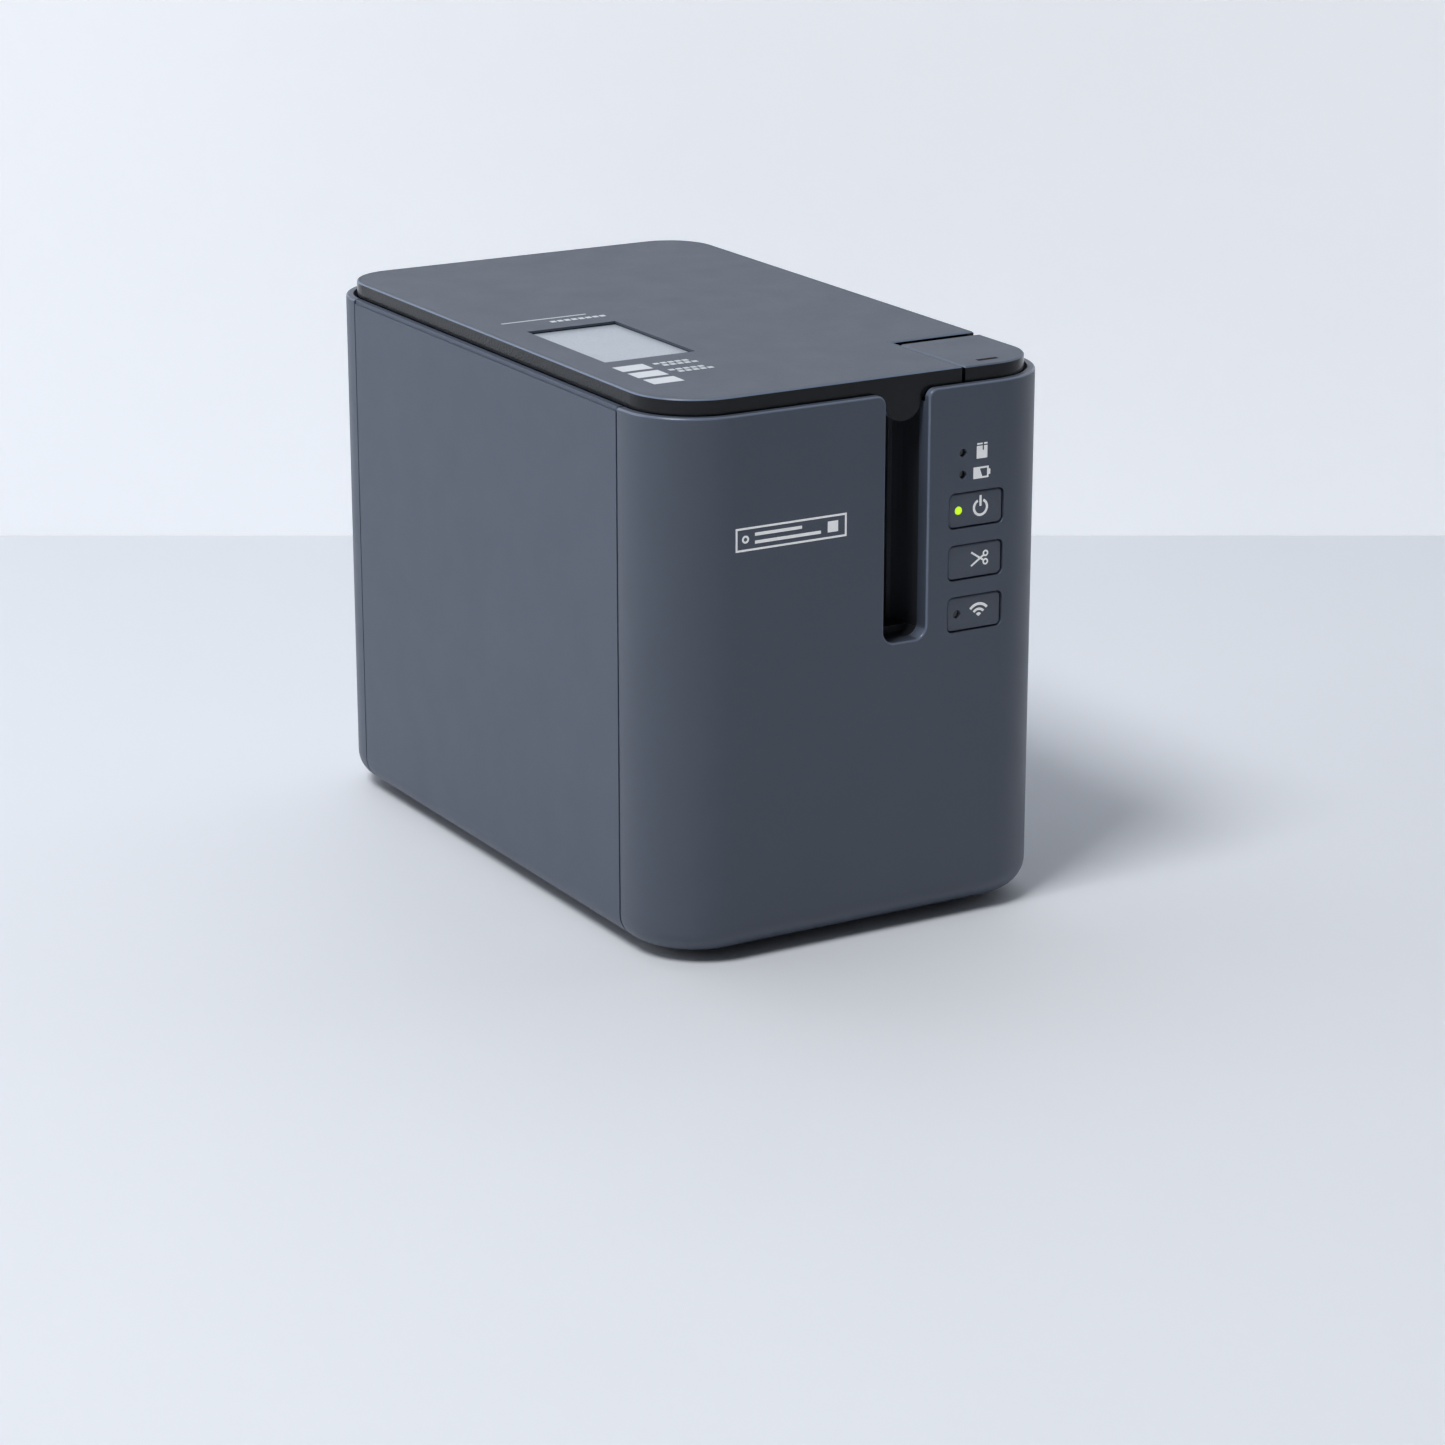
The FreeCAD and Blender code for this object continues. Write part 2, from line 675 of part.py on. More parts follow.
def cheek_spans():
    """The two cheeks that carry the latch lever's pin."""
    return [(LEVER_Y[0] - 0.3 - CHEEK, LEVER_Y[0] - 0.3), (LEVER_Y[1] + 0.3, LEVER_Y[1] + 0.3 + CHEEK)]


def inner_deck():
    plate = inset_slab(d.wall, (DECK_LOW, d.deck_top), "DeckPlate")
    front_y = (FRONT, COLLAR_BACK + d.guide_deep + 0.3)
    front_room = box((-HALF_X, HALF_X), front_y, (DECK_LOW - 1, d.deck_top + 1), "DeckFrontRoom")
    grown_x = (WELL_X[0] - WELL_WALL, WELL_X[1] + WELL_WALL)
    grown_y = (WELL_Y[0] - WELL_WALL, WELL_Y[1] + WELL_WALL)
    well = box(grown_x, grown_y, (d.floor_top - 2, d.deck_top), "WellOutside")
    hollow = box(WELL_X, WELL_Y, (d.floor_top, d.deck_top + REACH), "WellInside")
    legs = [rod(LEG_RADIUS, (d.plate_top, d.deck_top - 1), x, y, name="Leg") for x, y in LEGS]
    cheeks = [box((31.2, 37.0), y, (LEVER_Z - 3, d.deck_top - 1), "Cheek") for y in cheek_spans()]
    knuckles = []
    for side in (-1, 1):
        x = (d.hinge_x * side - KNUCKLE / 2, d.hinge_x * side + KNUCKLE / 2)
        knuckles.append(rod(d.hinge_barrel, x, 0, d.hinge_y, d.hinge_z, "x", "Knuckle"))
        y = (d.hinge_y - d.hinge_barrel, d.hinge_y + d.hinge_barrel - 0.4)
        knuckles.append(box(x, y, (d.deck_top - 1, d.hinge_z), "KnuckleStand"))
    holes = [
        front_room,
        box((-5.0, 12.5), (-37.5, -22.0), (d.floor_top - 3, d.floor_top + 1), "HeadHole"),
        box((12.4, WELL_X[1] - 0.5), (-57.0, -3.0), (d.floor_top - 3, d.floor_top + 1), "HolderHole"),
        box((5.0, 13.0), (-56.0, -46.0), (d.floor_top - 3, d.floor_top + 1), "PinchHole"),
        rod(4.2, (d.floor_top - 3, d.floor_top + 1), *RIBBON_AT, name="SpindleHole"),
        box((6.0, 19.0), (-62.0, -57.0), (94.0, d.deck_top + 1), "TapeWay"),
        box((26.8, 37.6), (LEVER_Y[0], LEVER_Y[1]), (DECK_LOW - 1, d.deck_top + 1), "HookHole"),
        rod(STEM_RADIUS + d.fit, (DECK_LOW - 1, d.deck_top + 1), *STEM, name="StemHole"),
        rod(1.5, (-70, -58), LEVER_X, 0, LEVER_Z, "y", "LeverPinHole"),
    ]
    holes += [rod(d.hinge_pin, (d.hinge_x * side - KNUCKLE, d.hinge_x * side + KNUCKLE), 0, d.hinge_y,
                  d.hinge_z, "x", "PinHole") for side in (-1, 1)]
    holes += [rod(SHANK, (d.plate_top - 1, d.plate_top + 8), x, y, name="LegHole") for x, y in LEGS]
    body = cut(fuse(plate, well), hollow)
    return keep("inner_deck", cut(fuse(body, *legs, *cheeks, *knuckles), *holes, name="Deck"))


def hinge_pins():
    reach = KNUCKLE / 2 + KNUCKLE_GAP + 5
    pins = [rod(d.hinge_pin, (d.hinge_x * side - reach, d.hinge_x * side + reach), 0, d.hinge_y, d.hinge_z,
                "x", "HingePin") for side in (-1, 1)]
    return keep("hinge_pins", group(*pins, name="HingePins"))


# ---------------------------------------------------------------- lid

def notch(grow, name):
    """The corner of the lid that the release button fills, grown by an amount."""
    x = (d.notch_x - grow, HALF_X + REACH)
    return box(x, (FRONT - REACH, d.notch_y + grow), (100, d.height + REACH), name)


def pane_block(grow, z, name):
    x = (d.pane_x - d.pane_wide / 2 - grow, d.pane_x + d.pane_wide / 2 + grow)
    y = (d.pane_y - d.pane_long / 2 - grow, d.pane_y + d.pane_long / 2 + grow)
    return box(x, y, z, name)


LID_BORDER = 0.9
WEB_LOW = d.height - d.lid_skin - d.lid_web
PANE_TOP = d.height - d.pane_deep
PANE_LEDGE = 1.5


def lid():
    outside = lid_slab(0, (d.lid_low, d.height), "LidOutside")
    outside = cut(outside, notch(0, "LidNotch"))
    outside = bevelled(outside, at_level(d.height), d.lid_bevel)
    inside = lid_slab(d.lid_skirt, (d.lid_low - 1, WEB_LOW), "LidInside")
    inside = cut(inside, notch(d.lid_skirt, "LidNotchWall"))
    panel = lid_slab(LID_BORDER, (d.height - d.lid_skin, d.height + REACH), "LidPocket")
    panel = cut(panel, notch(LID_BORDER, "PocketNotch"))
    opening = pane_block(0, (WEB_LOW - 1, d.height + 1), "PaneOpening")
    pocket = pane_block(PANE_LEDGE, (WEB_LOW - 1, PANE_TOP), "PanePocket")
    shell = cut(outside, inside, panel, opening, pocket)
    knuckles = []
    cutters = []
    for side in (-1, 1):
        middle = d.hinge_x * side
        for way in (-1, 1):
            near = middle + way * (KNUCKLE / 2 + KNUCKLE_GAP)
            x = (near, near + 5) if way > 0 else (near - 5, near)
            knuckles.append(rod(d.hinge_barrel, x, 0, d.hinge_y, d.hinge_z, "x", "LidKnuckle"))
            knuckles.append(box(x, (d.hinge_y - 1, d.hinge_y + 1), (d.hinge_z, WEB_LOW + 0.5), "KnuckleWeb"))
        x = (middle - KNUCKLE / 2 - KNUCKLE_GAP, middle + KNUCKLE / 2 + KNUCKLE_GAP)
        around = (d.hinge_y - 4, d.hinge_y + 4)
        cutters.append(box(x, around, (d.lid_low - 1, d.hinge_z + 2.4), "KnuckleRoom"))
        reach = KNUCKLE + 3
        along = (middle - reach, middle + reach)
        cutters.append(rod(d.hinge_pin + d.fit, along, 0, d.hinge_y, d.hinge_z, "x", "LidPinHole"))
    hook = box((d.notch_x - d.lid_skirt, d.notch_x), HOOK_Y, (132.5, d.lid_low + 1), "HookArm")
    ledge = box((d.notch_x - 0.1, d.notch_x + 1.2), HOOK_Y, (132.5, 134.0), "HookLedge")
    front_skirt = (FRONT + d.lid_inset, FRONT + d.lid_inset + d.lid_skirt)
    lobe = rod(d.slot_wide / 2 - 0.75, front_skirt, d.slot_x, 0, d.lid_low, "y", "LidLobe")
    lobe = common(lobe, box((0, 30), (FRONT, 0), (d.lid_low - 9, d.lid_low + 1), "LobeRoom"))
    return keep("lid", cut(fuse(shell, *knuckles, hook, ledge, lobe), *cutters, name="Lid"))


def lid_panel():
    """The textured sheet set into the lid's glossy frame."""
    gap = LID_BORDER + 0.05
    sheet_body = lid_slab(gap, (d.height - d.lid_skin, d.height), "PanelSheet")
    opening = pane_block(0, (d.height - 2, d.height + 1), "PanelOpening")
    return keep("lid_panel", cut(sheet_body, notch(gap, "PanelNotch"), opening, name="LidPanel"))


def lid_window():
    return keep("lid_window", pane_block(PANE_LEDGE - 0.1, (WEB_LOW, PANE_TOP), "Pane"))


def lid_liner():
    """The inner sheet under the lid, with pads that hold the cassette down."""
    inset = d.lid_inset + d.lid_skirt + 0.2
    right = d.lid_right + d.lid_skirt + 0.2
    behind = d.lid_rear + 4.6
    body = inset_slab(inset, (WEB_LOW - 1.1, WEB_LOW), "LinerSheet", behind, right)
    pads = [box((-50.0, -47.4), (y - 3, y + 3), (137.0, WEB_LOW - 1), "LinerPad") for y in (-34.0, 20.0)]
    pads.append(box((-12.0, -4.0), (24.0, 26.0), (137.0, WEB_LOW - 1), "LinerPad"))
    body = fuse(body, *pads)
    opening = pane_block(0, (WEB_LOW - 3, WEB_LOW + 1), "LinerOpening")
    return keep("lid_liner", cut(body, notch(d.lid_skirt + 0.2, "LinerNotch"), opening, name="LidLiner"))


# ---------------------------------------------------------------- latch

BUTTON_LOW = 141.2
BUTTON_SKIN = 1.8
BUTTON_TOP = d.height - d.button_drop
NOSE_Z = (134.4, 136.0)


def release_button():
    around = box((d.notch_x + d.notch_side_gap, HALF_X), (FRONT, d.notch_y - d.notch_rear_gap),
                 (100, d.height + 1), "ButtonRoom")
    outside = common(lid_slab(0, (BUTTON_LOW, BUTTON_TOP), "ButtonOutside"), around)
    outside = bevelled(outside, at_level(BUTTON_TOP), d.lid_bevel)
    wall = 1.4
    inner_x = (d.notch_x + d.notch_side_gap + wall, HALF_X)
    inner_y = (FRONT, d.notch_y - d.notch_rear_gap - wall)
    inner_room = box(inner_x, inner_y, (100, BUTTON_TOP - BUTTON_SKIN), "ButtonHollowRoom")
    inside = common(lid_slab(wall, (BUTTON_LOW - 1, BUTTON_TOP), "ButtonInside"), inner_room)
    stem = rod(STEM_RADIUS, (LEVER_Z + 1.9, BUTTON_TOP - BUTTON_SKIN + 0.5), *STEM, name="Stem")
    return keep("release_button", fuse(cut(outside, inside), stem, name="ReleaseButton"))


def latch_lever():
    upright = box((LEVER_X - 2, LEVER_X + 1), LEVER_Y, (LEVER_Z, NOSE_Z[1]), "LeverUpright")
    nose = box((d.notch_x + 1.5, LEVER_X - 1), LEVER_Y, NOSE_Z, "LeverNose")
    boss = rod(3.0, LEVER_Y, LEVER_X, 0, LEVER_Z, "y", "LeverBoss")
    arm = box((LEVER_X, LEVER_X + 5), LEVER_Y, (LEVER_Z - 1.5, LEVER_Z + 1.5), "LeverArm")
    foot = box((LEVER_X + 4, LEVER_X + 13), (STEM[1] - 3, LEVER_Y[1]), (LEVER_Z - 1.5, LEVER_Z + 1.5),
               "LeverFoot")
    hole = rod(1.5 + d.fit, (LEVER_Y[0] - 1, LEVER_Y[1] + 1), LEVER_X, 0, LEVER_Z, "y", "LeverHole")
    return keep("latch_lever", cut(fuse(upright, nose, boss, arm, foot), hole, name="LatchLever"))


def latch_pin():
    low, high = cheek_spans()
    return keep("latch_pin", rod(1.5, (low[0], high[1]), LEVER_X, 0, LEVER_Z, "y", "LatchPin"))


def latch_spring():
    wire = 0.35
    low = d.deck_top.value + wire
    high = BUTTON_TOP.value - BUTTON_SKIN - wire
    solid_piece("latch_spring", coil_solid(STEM_RADIUS + 1.1, wire, 3, high - low), (*STEM, low))


# ---------------------------------------------------------------- front buttons

KEY_DEPTH = 4.0
SWITCH_HIGH = 3.5
BOARD_FACE = d.panel_board_y - d.board_thick
KEY_TRAVEL = 0.8


def front_key(label, row, lens=None, sunk=0.1):
    z = key_heights()[row]
    x = (d.key_x - d.key_wide / 2 + d.key_gap, d.key_x + d.key_wide / 2 - d.key_gap)
    high = (z - d.key_high / 2 + d.key_gap, z + d.key_high / 2 - d.key_gap)
    face = FRONT + d.key_sunk
    cap = key_slab(x, high, d.key_round - d.key_gap, (face, FRONT + KEY_DEPTH), "Cap")
    cap = bevelled(cap, lambda edge: edge.BoundBox.YMax < face.value + 0.01, 0.25)
    flange_x = (x[0] - 1, x[1] + 1)
    flange_z = (high[0] - 1, high[1] + 1)
    flange = key_slab(flange_x, flange_z, d.key_round, (INNER_FRONT + 0.3, INNER_FRONT + 1.5), "Flange")
    end = BOARD_FACE - SWITCH_HIGH - 0.9 - KEY_TRAVEL - 0.3
    plunger = rod(1.8, (FRONT + 2, end), d.key_x + 3, 0, z, "y", "Plunger")
    body = fuse(cap, flange, plunger)
    if lens:
        wide = rod(d.lamp_size + 0.05, (FRONT - 1, FRONT + 1.6), d.key_lamp_x, 0, z, "y", "LensMouth")
        hole = rod(d.lamp_size - 0.05, (FRONT + 1, FRONT + 7), d.key_lamp_x, 0, z, "y", "LensHole")
        body = cut(body, wide, hole)
        pipe = rod(d.lamp_size - 0.05, (face + sunk, FRONT + 5.5), d.key_lamp_x, 0, z, "y", "LensPipe")
        keep(lens, pipe)
    return keep(label, body)


def status_lamps():
    length = (FRONT + 1.0, FRONT + 8)
    pipes = [rod(d.lamp_size - 0.05, length, d.lamp_x, 0, z, "y", "LampPipe") for z in lamp_heights()]
    return keep("status_lamps", group(*pipes, name="StatusLamps"))


def panel_board():
    board = box((21.0, 46.0), (BOARD_FACE, d.panel_board_y), (76.0, 130.0), "PanelBoard")
    extras = []
    for z in key_heights():
        x = d.key_x + 3
        extras.append(box((x - 3, x + 3), (BOARD_FACE - SWITCH_HIGH, BOARD_FACE), (z - 3, z + 3), "Switch"))
        extras.append(rod(1.7, (BOARD_FACE - SWITCH_HIGH - 0.9, BOARD_FACE), x, 0, z, "y", "SwitchTop"))
    for z in lamp_heights():
        x = (d.lamp_x - 0.8, d.lamp_x + 0.8)
        extras.append(box(x, (BOARD_FACE - 0.8, BOARD_FACE), (z - 1.2, z + 1.2), "Led"))
    for row in (0, 2):
        z = key_heights()[row]
        x = (d.key_lamp_x - 0.8, d.key_lamp_x + 0.8)
        extras.append(box(x, (BOARD_FACE - 0.8, BOARD_FACE), (z - 1.2, z + 1.2), "KeyLed"))
    return keep("panel_board", fuse(board, *extras, name="ButtonBoard"))


# ---------------------------------------------------------------- print unit

PLATEN_TEETH = 24
FEED_TEETH = 20
IDLER_TEETH = 20
PINION_TEETH = 12
RIBBON_TEETH = 40
BACKLASH = 0.06
MODULE = d.tooth.value


def reach_of(first, second):
    """Distance between the axes of two gears in mesh."""
    return (first + second) * MODULE / 2 + BACKLASH


def step_from(point, bearing, distance):
    turn = math.radians(bearing)
    return (point[0] + distance * math.cos(turn), point[1] + distance * math.sin(turn))


HALF_TAPE = d.tape_thick / 2
PLATEN_AT = ((d.tape_x + HALF_TAPE + d.nip + d.platen_size).value, d.platen_y.value)
FEED_AT = ((d.tape_x + HALF_TAPE + d.nip + d.feed_size).value, d.feed_y.value)
PINCH_SIZE = 3.5
PINCH_AT = ((d.tape_x - HALF_TAPE - d.nip - PINCH_SIZE).value, d.feed_y.value)
PIVOT_AT = (d.pivot_x.value, d.pivot_y.value)
SWING_BEARING = bearing_to(PIVOT_AT, PLATEN_AT) + 90.0
BETWEEN = bearing_to(PLATEN_AT, FEED_AT)
CARRIER_AT = step_from(PLATEN_AT, BETWEEN, reach_of(PLATEN_TEETH, FEED_TEETH))
IDLER_BEARING = SWING_BEARING + 180.5
IDLER_AT = step_from(PLATEN_AT, IDLER_BEARING, reach_of(PLATEN_TEETH, IDLER_TEETH))
PINION_BEARING = 100.0
PINION_AT = step_from(IDLER_AT, PINION_BEARING, reach_of(IDLER_TEETH, PINION_TEETH))
RIBBON_BEARING = 150.0
RIBBON_AT = step_from(PINION_AT, RIBBON_BEARING, reach_of(PINION_TEETH, RIBBON_TEETH))
GEAR_SPAN = (d.gear_low, d.gear_low + d.gear_thick)
HOLDER_LOW = (d.plate_top + 1.5, d.plate_top + 4)
HOLDER_HIGH = (134.2, 136.2)
TAPE_SPAN = (d.tape_mid - d.tape_wide / 2, d.tape_mid + d.tape_wide / 2)


def frame_plate():
    plate = box((-50.0, 50.0), (-67.0, 72.0), (PLATE_LOW, d.plate_top), "PlateSheet")
    pins = [rod(1.5, (d.plate_top - 1, GEAR_SPAN[1] + 0.4), *IDLER_AT, name="IdlerPin"),
            rod(1.5, (d.plate_top - 1, TAPE_SPAN[1] + 1), *PINCH_AT, name="PinchPin"),
            rod(d.shaft_size, (d.plate_top - 1, HOLDER_HIGH[1] + 0.2), *PIVOT_AT, name="PivotPin"),
            rod(1.5, (d.plate_top - 1, 118), *RIBBON_AT, name="RibbonPin")]
    through = (PLATE_LOW - 1, d.plate_top + 1)
    holes = [rod(SHANK + 0.2, through, x, y, name="PlateHole") for x, y in POSTS + LEGS]
    holes.append(rod(4.0, (PLATE_LOW - 1, d.plate_top + 1), *PINION_AT, name="MotorHole"))
    holes.append(box((-9.0, -5.0), (-37.0, -23.0), (PLATE_LOW - 1, d.plate_top + 1), "CableHole"))
    return keep("frame_plate", fuse(cut(plate, *holes), *pins, name="FramePlate"))


def print_head():
    face = d.tape_x - HALF_TAPE - d.nip
    y = (d.platen_y - 5, d.platen_y + 5)
    return keep("print_head", box((face - 1, face), y, (94.0, 136.0), "Head"))


def heat_sink():
    face = d.tape_x - HALF_TAPE - d.nip - 1
    block = box((3.5, face), (d.platen_y - 6, d.platen_y + 6), (89.2, 136.0), "SinkBlock")
    slots = []
    for step in range(3):
        near = d.platen_y - 4.6 + step * 3
        slots.append(box((2.5, face - 2.4), (near, near + 1.6), (95, 137), "SinkSlot"))
    foot = box((-4.0, face), (d.platen_y - 6, d.platen_y + 6), (89.2, 91.2), "SinkFoot")
    post = box((-4.0, 0.4), (d.platen_y - 6, d.platen_y + 6), (d.plate_top, 91.2), "SinkPost")
    return keep("heat_sink", fuse(cut(block, *slots), foot, post, name="HeatSink"))


def head_cable():
    """The flat cable from the print head down to the main board."""
    x = (-6.4, -6.1)
    y = (d.platen_y - 6, d.platen_y + 5)
    drop = box(x, y, (BOARD_TOP + 3, 87.4), "CableDrop")
    tip = box((x[0], -4.0), y, (87.1, 87.4), "CableTip")
    plug = box((-8.0, -4.4), (y[0] - 1, y[1] + 1), (BOARD_TOP, BOARD_TOP + 4), "CablePlug")
    return keep("head_cable", fuse(drop, tip, plug, name="HeadCable"))


def feed_motor():
    can = rod(10.0, (PLATE_LOW - 19, PLATE_LOW), *PINION_AT, name="MotorCan")
    collar = rod(3.8, (PLATE_LOW - 1, d.plate_top), *PINION_AT, name="MotorCollar")
    shaft = rod(1.0, (d.plate_top - 2, GEAR_SPAN[1]), *PINION_AT, name="MotorShaft")
    ears = box((PINION_AT[0] - 15, PINION_AT[0] + 15), (PINION_AT[1] - 4, PINION_AT[1] + 4),
               (PLATE_LOW - 1, PLATE_LOW), "MotorEars")
    return keep("feed_motor", fuse(can, collar, shaft, ears, name="FeedMotor"))


def platen_shaft(phase):
    """The platen roller's shaft with its gear."""
    gear = gear_solid(PLATEN_TEETH, d.gear_thick.value, d.shaft_size.value - 0.2, phase)
    low, high = HOLDER_LOW[0].value - 0.6, HOLDER_HIGH[1]
    rod_shape = Part.makeCylinder(d.shaft_size.value, high - low, Vector(0, 0, low - GEAR_SPAN[0].value))
    solid_piece("platen_shaft", gear.fuse(rod_shape), (*PLATEN_AT, GEAR_SPAN[0]))


def feed_shaft(phase):
    gear = gear_solid(FEED_TEETH, d.gear_thick.value, d.shaft_size.value - 0.2, phase)
    low, high = HOLDER_LOW[0].value - 0.6, HOLDER_HIGH[1]
    rod_shape = Part.makeCylinder(d.shaft_size.value, high - low, Vector(0, 0, low - GEAR_SPAN[0].value))
    solid_piece("feed_shaft", gear.fuse(rod_shape), (*FEED_AT, GEAR_SPAN[0]))


def sleeve(label, radius, bore, span, at):
    body = cut(rod(radius, span, *at, name="SleeveOutside"), rod(bore, (span[0] - 1, span[1] + 1), *at),
               name="Sleeve")
    return keep(label, body)


def rollers():
    sleeve("platen_rubber", d.platen_size, d.shaft_size, (TAPE_SPAN[0] - 2, TAPE_SPAN[1] + 1), PLATEN_AT)
    sleeve("feed_rubber", d.feed_size, d.shaft_size, (TAPE_SPAN[0] - 1, TAPE_SPAN[1] + 1), FEED_AT)
    sleeve("pinch_roller", PINCH_SIZE, 1.5 + d.fit, (TAPE_SPAN[0] - 1, TAPE_SPAN[1]), PINCH_AT)


def roller_holder():
    """The swinging carriage that holds the platen and the feed roller against the tape."""
    reach = 3.6
    plates = []
    for z in (HOLDER_LOW, HOLDER_HIGH):
        plates.append(box((PLATEN_AT[0] - reach, 26.8), (FEED_AT[1] - reach, -25.0), z, "HolderArm"))
        plates.append(box((20.4, 26.8), (-26.0, d.pivot_y), z, "HolderNeck"))
    span = (HOLDER_LOW[0], HOLDER_HIGH[1])
    bush = rod(3.6, span, *PIVOT_AT, name="HolderBush")
    spine = box((24.8, 26.8), (FEED_AT[1] - reach, d.pivot_y), span, "HolderSpine")
    stud = rod(1.5, (HOLDER_LOW[0] + 0.5, GEAR_SPAN[1] + 0.4), *CARRIER_AT, name="CarrierStud")
    holes = [rod(d.shaft_size + d.fit, (span[0] - 1, span[1] + 1), *at, name="HolderBore")
             for at in (PLATEN_AT, FEED_AT, PIVOT_AT)]
    return keep("roller_holder", fuse(cut(fuse(*plates, bush, spine), *holes), stud, name="RollerHolder"))


def gears():
    """The drive train, every gear in mesh with its neighbour."""
    thick = d.gear_thick.value
    level = GEAR_SPAN[0]
    bore = 1.5 + d.fit.value
    platen = 0.0
    platen_shaft(platen)
    carrier = meshed(platen, PLATEN_TEETH, BETWEEN, IDLER_TEETH)
    solid_piece("carrier_gear", gear_solid(IDLER_TEETH, thick, bore, carrier), (*CARRIER_AT, level))
    feed_shaft(meshed(carrier, IDLER_TEETH, BETWEEN, FEED_TEETH))
    idler = meshed(platen, PLATEN_TEETH, IDLER_BEARING, IDLER_TEETH)
    solid_piece("idler_gear", gear_solid(IDLER_TEETH, thick, bore, idler), (*IDLER_AT, level))
    pinion = meshed(idler, IDLER_TEETH, PINION_BEARING, PINION_TEETH)
    wheel = gear_solid(PINION_TEETH, thick, 1.0 + d.fit.value, pinion)
    solid_piece("motor_pinion", wheel, (*PINION_AT, level))
    ribbon = meshed(pinion, PINION_TEETH, RIBBON_BEARING, RIBBON_TEETH)
    wheel = gear_solid(RIBBON_TEETH, thick, bore, ribbon)
    stalk = Part.makeCylinder(3.0, 29, Vector(0, 0, thick - 0.5)).cut(Part.makeCylinder(bore, 40))
    solid_piece("ribbon_spindle", wheel.fuse(stalk), (*RIBBON_AT, level))


# ---------------------------------------------------------------- cutter

BLADE_GAP = 0.05
SECTOR_TEETH = 64
CUTTER_TEETH = 12
CUTTER_REACH = (SECTOR_TEETH + CUTTER_TEETH) * MODULE / 2 + BACKLASH
FRAME_Y = (-69.4, -67.4)
CUTTER_AT = (d.blade_pivot_x, d.blade_pivot_z - CUTTER_REACH)
UPRIGHT = Rotation(Vector(1, 0, 0), 90)


def cutter_frame():
    plate = box((-2.0, 29.6), FRAME_Y, (d.plate_top, 135.0), "CutterSheet")
    foot = box((-2.0, 29.6), (FRAME_Y[0], -60.5), (d.plate_top, d.plate_top + 2), "CutterFoot")
    pin = rod(2.0, (-72.4, FRAME_Y[1]), d.blade_pivot_x, 0, d.blade_pivot_z, "y", "BladePin")
    slot = box((9.0, 15.0), (FRAME_Y[0] - 1, FRAME_Y[1] + 1), (95.0, 136.0), "CutterSlot")
    return keep("cutter_frame", fuse(cut(plate, slot), foot, pin, name="CutterFrame"))


def fixed_blade():
    y = (d.blade_y + BLADE_GAP, FRAME_Y[0])
    blade = box((5.0, d.tape_x - HALF_TAPE - 0.3), y, (92.0, 135.0), "FixedBlade")
    return keep("fixed_blade", blade)


def moving_blade():
    """The blade standing open, with its toothed sector below the pivot."""
    thick = d.blade_thick.value
    wheel = gear_solid(SECTOR_TEETH, thick, 2.0 + d.fit.value, -90.0)
    opening = math.radians(42)
    far = 30.0
    wedge = Part.Face(Part.makePolygon([Vector(), Vector(-far * math.sin(opening), -far, 0),
                                        Vector(far * math.sin(opening), -far, 0), Vector()]))
    sector = wheel.common(wedge.extrude(Vector(0, 0, thick)))
    boss = Part.makeCylinder(5.0, thick)
    arm = Part.makeBox(7.0, 48.0, thick, Vector(-3.5, 0, 0))
    arm.rotate(Vector(), Vector(0, 0, 1), -d.blade_open.value)
    bore = Part.makeCylinder(2.0 + d.fit.value, thick * 4, Vector(0, 0, -thick))
    shape = sector.fuse(boss).fuse(arm).removeSplitter().cut(bore)
    solid_piece("moving_blade", shape, (d.blade_pivot_x, d.blade_y - BLADE_GAP, d.blade_pivot_z), UPRIGHT)


def cutter_drive():
    thick = 3.0
    turned = meshed(-90.0, SECTOR_TEETH, -90.0, CUTTER_TEETH)
    pinion = gear_solid(CUTTER_TEETH, thick, 1.0 + d.fit.value, turned)
    solid_piece("cutter_pinion", pinion, (CUTTER_AT[0], d.blade_y + 0.8, CUTTER_AT[1]), UPRIGHT)
    x, z = CUTTER_AT
    gearbox = box((x - 7, x + 7), (-66.0, -54.0), (z - 6, z + 6), "Gearbox")
    can = rod(6.0, (-54.5, -34.0), x, 0, z, "y", "CutterCan")
    shaft = rod(1.0, (-72.9, -65.0), x, 0, z, "y", "CutterShaft")
    hanger = box((x - 7, x + 7), (-62.0, -56.0), (z + 5, PLATE_LOW), "CutterHanger")
    return keep("cutter_motor", fuse(gearbox, can, shaft, hanger, name="CutterMotor"))


# ---------------------------------------------------------------- tape cassette

CASE_X = (-52.0, 14.5)
CASE_Y = (-50.0, 36.0)
CASE_Z = (92.0, 136.0)
CASE_SPLIT = 114.0
CASE_WALL = 1.4
BAY_X = 2.2
BAY_Y = -16.0
ROLL_AT = (-28.0, 8.0)
SUPPLY_AT = (-30.0, -33.0)


def case_block(grow, z, name):
    """The cassette's outline, with the bay for the print head at its front right corner."""
    whole = box((CASE_X[0] + grow, CASE_X[1] - grow), (CASE_Y[0] + grow, CASE_Y[1] - grow), z, name)
    bay = box((BAY_X - grow, CASE_X[1] + 5), (CASE_Y[0] - 5, BAY_Y + grow), (z[0] - 1, z[1] + 1), "Bay")
    return cut(whole, bay)


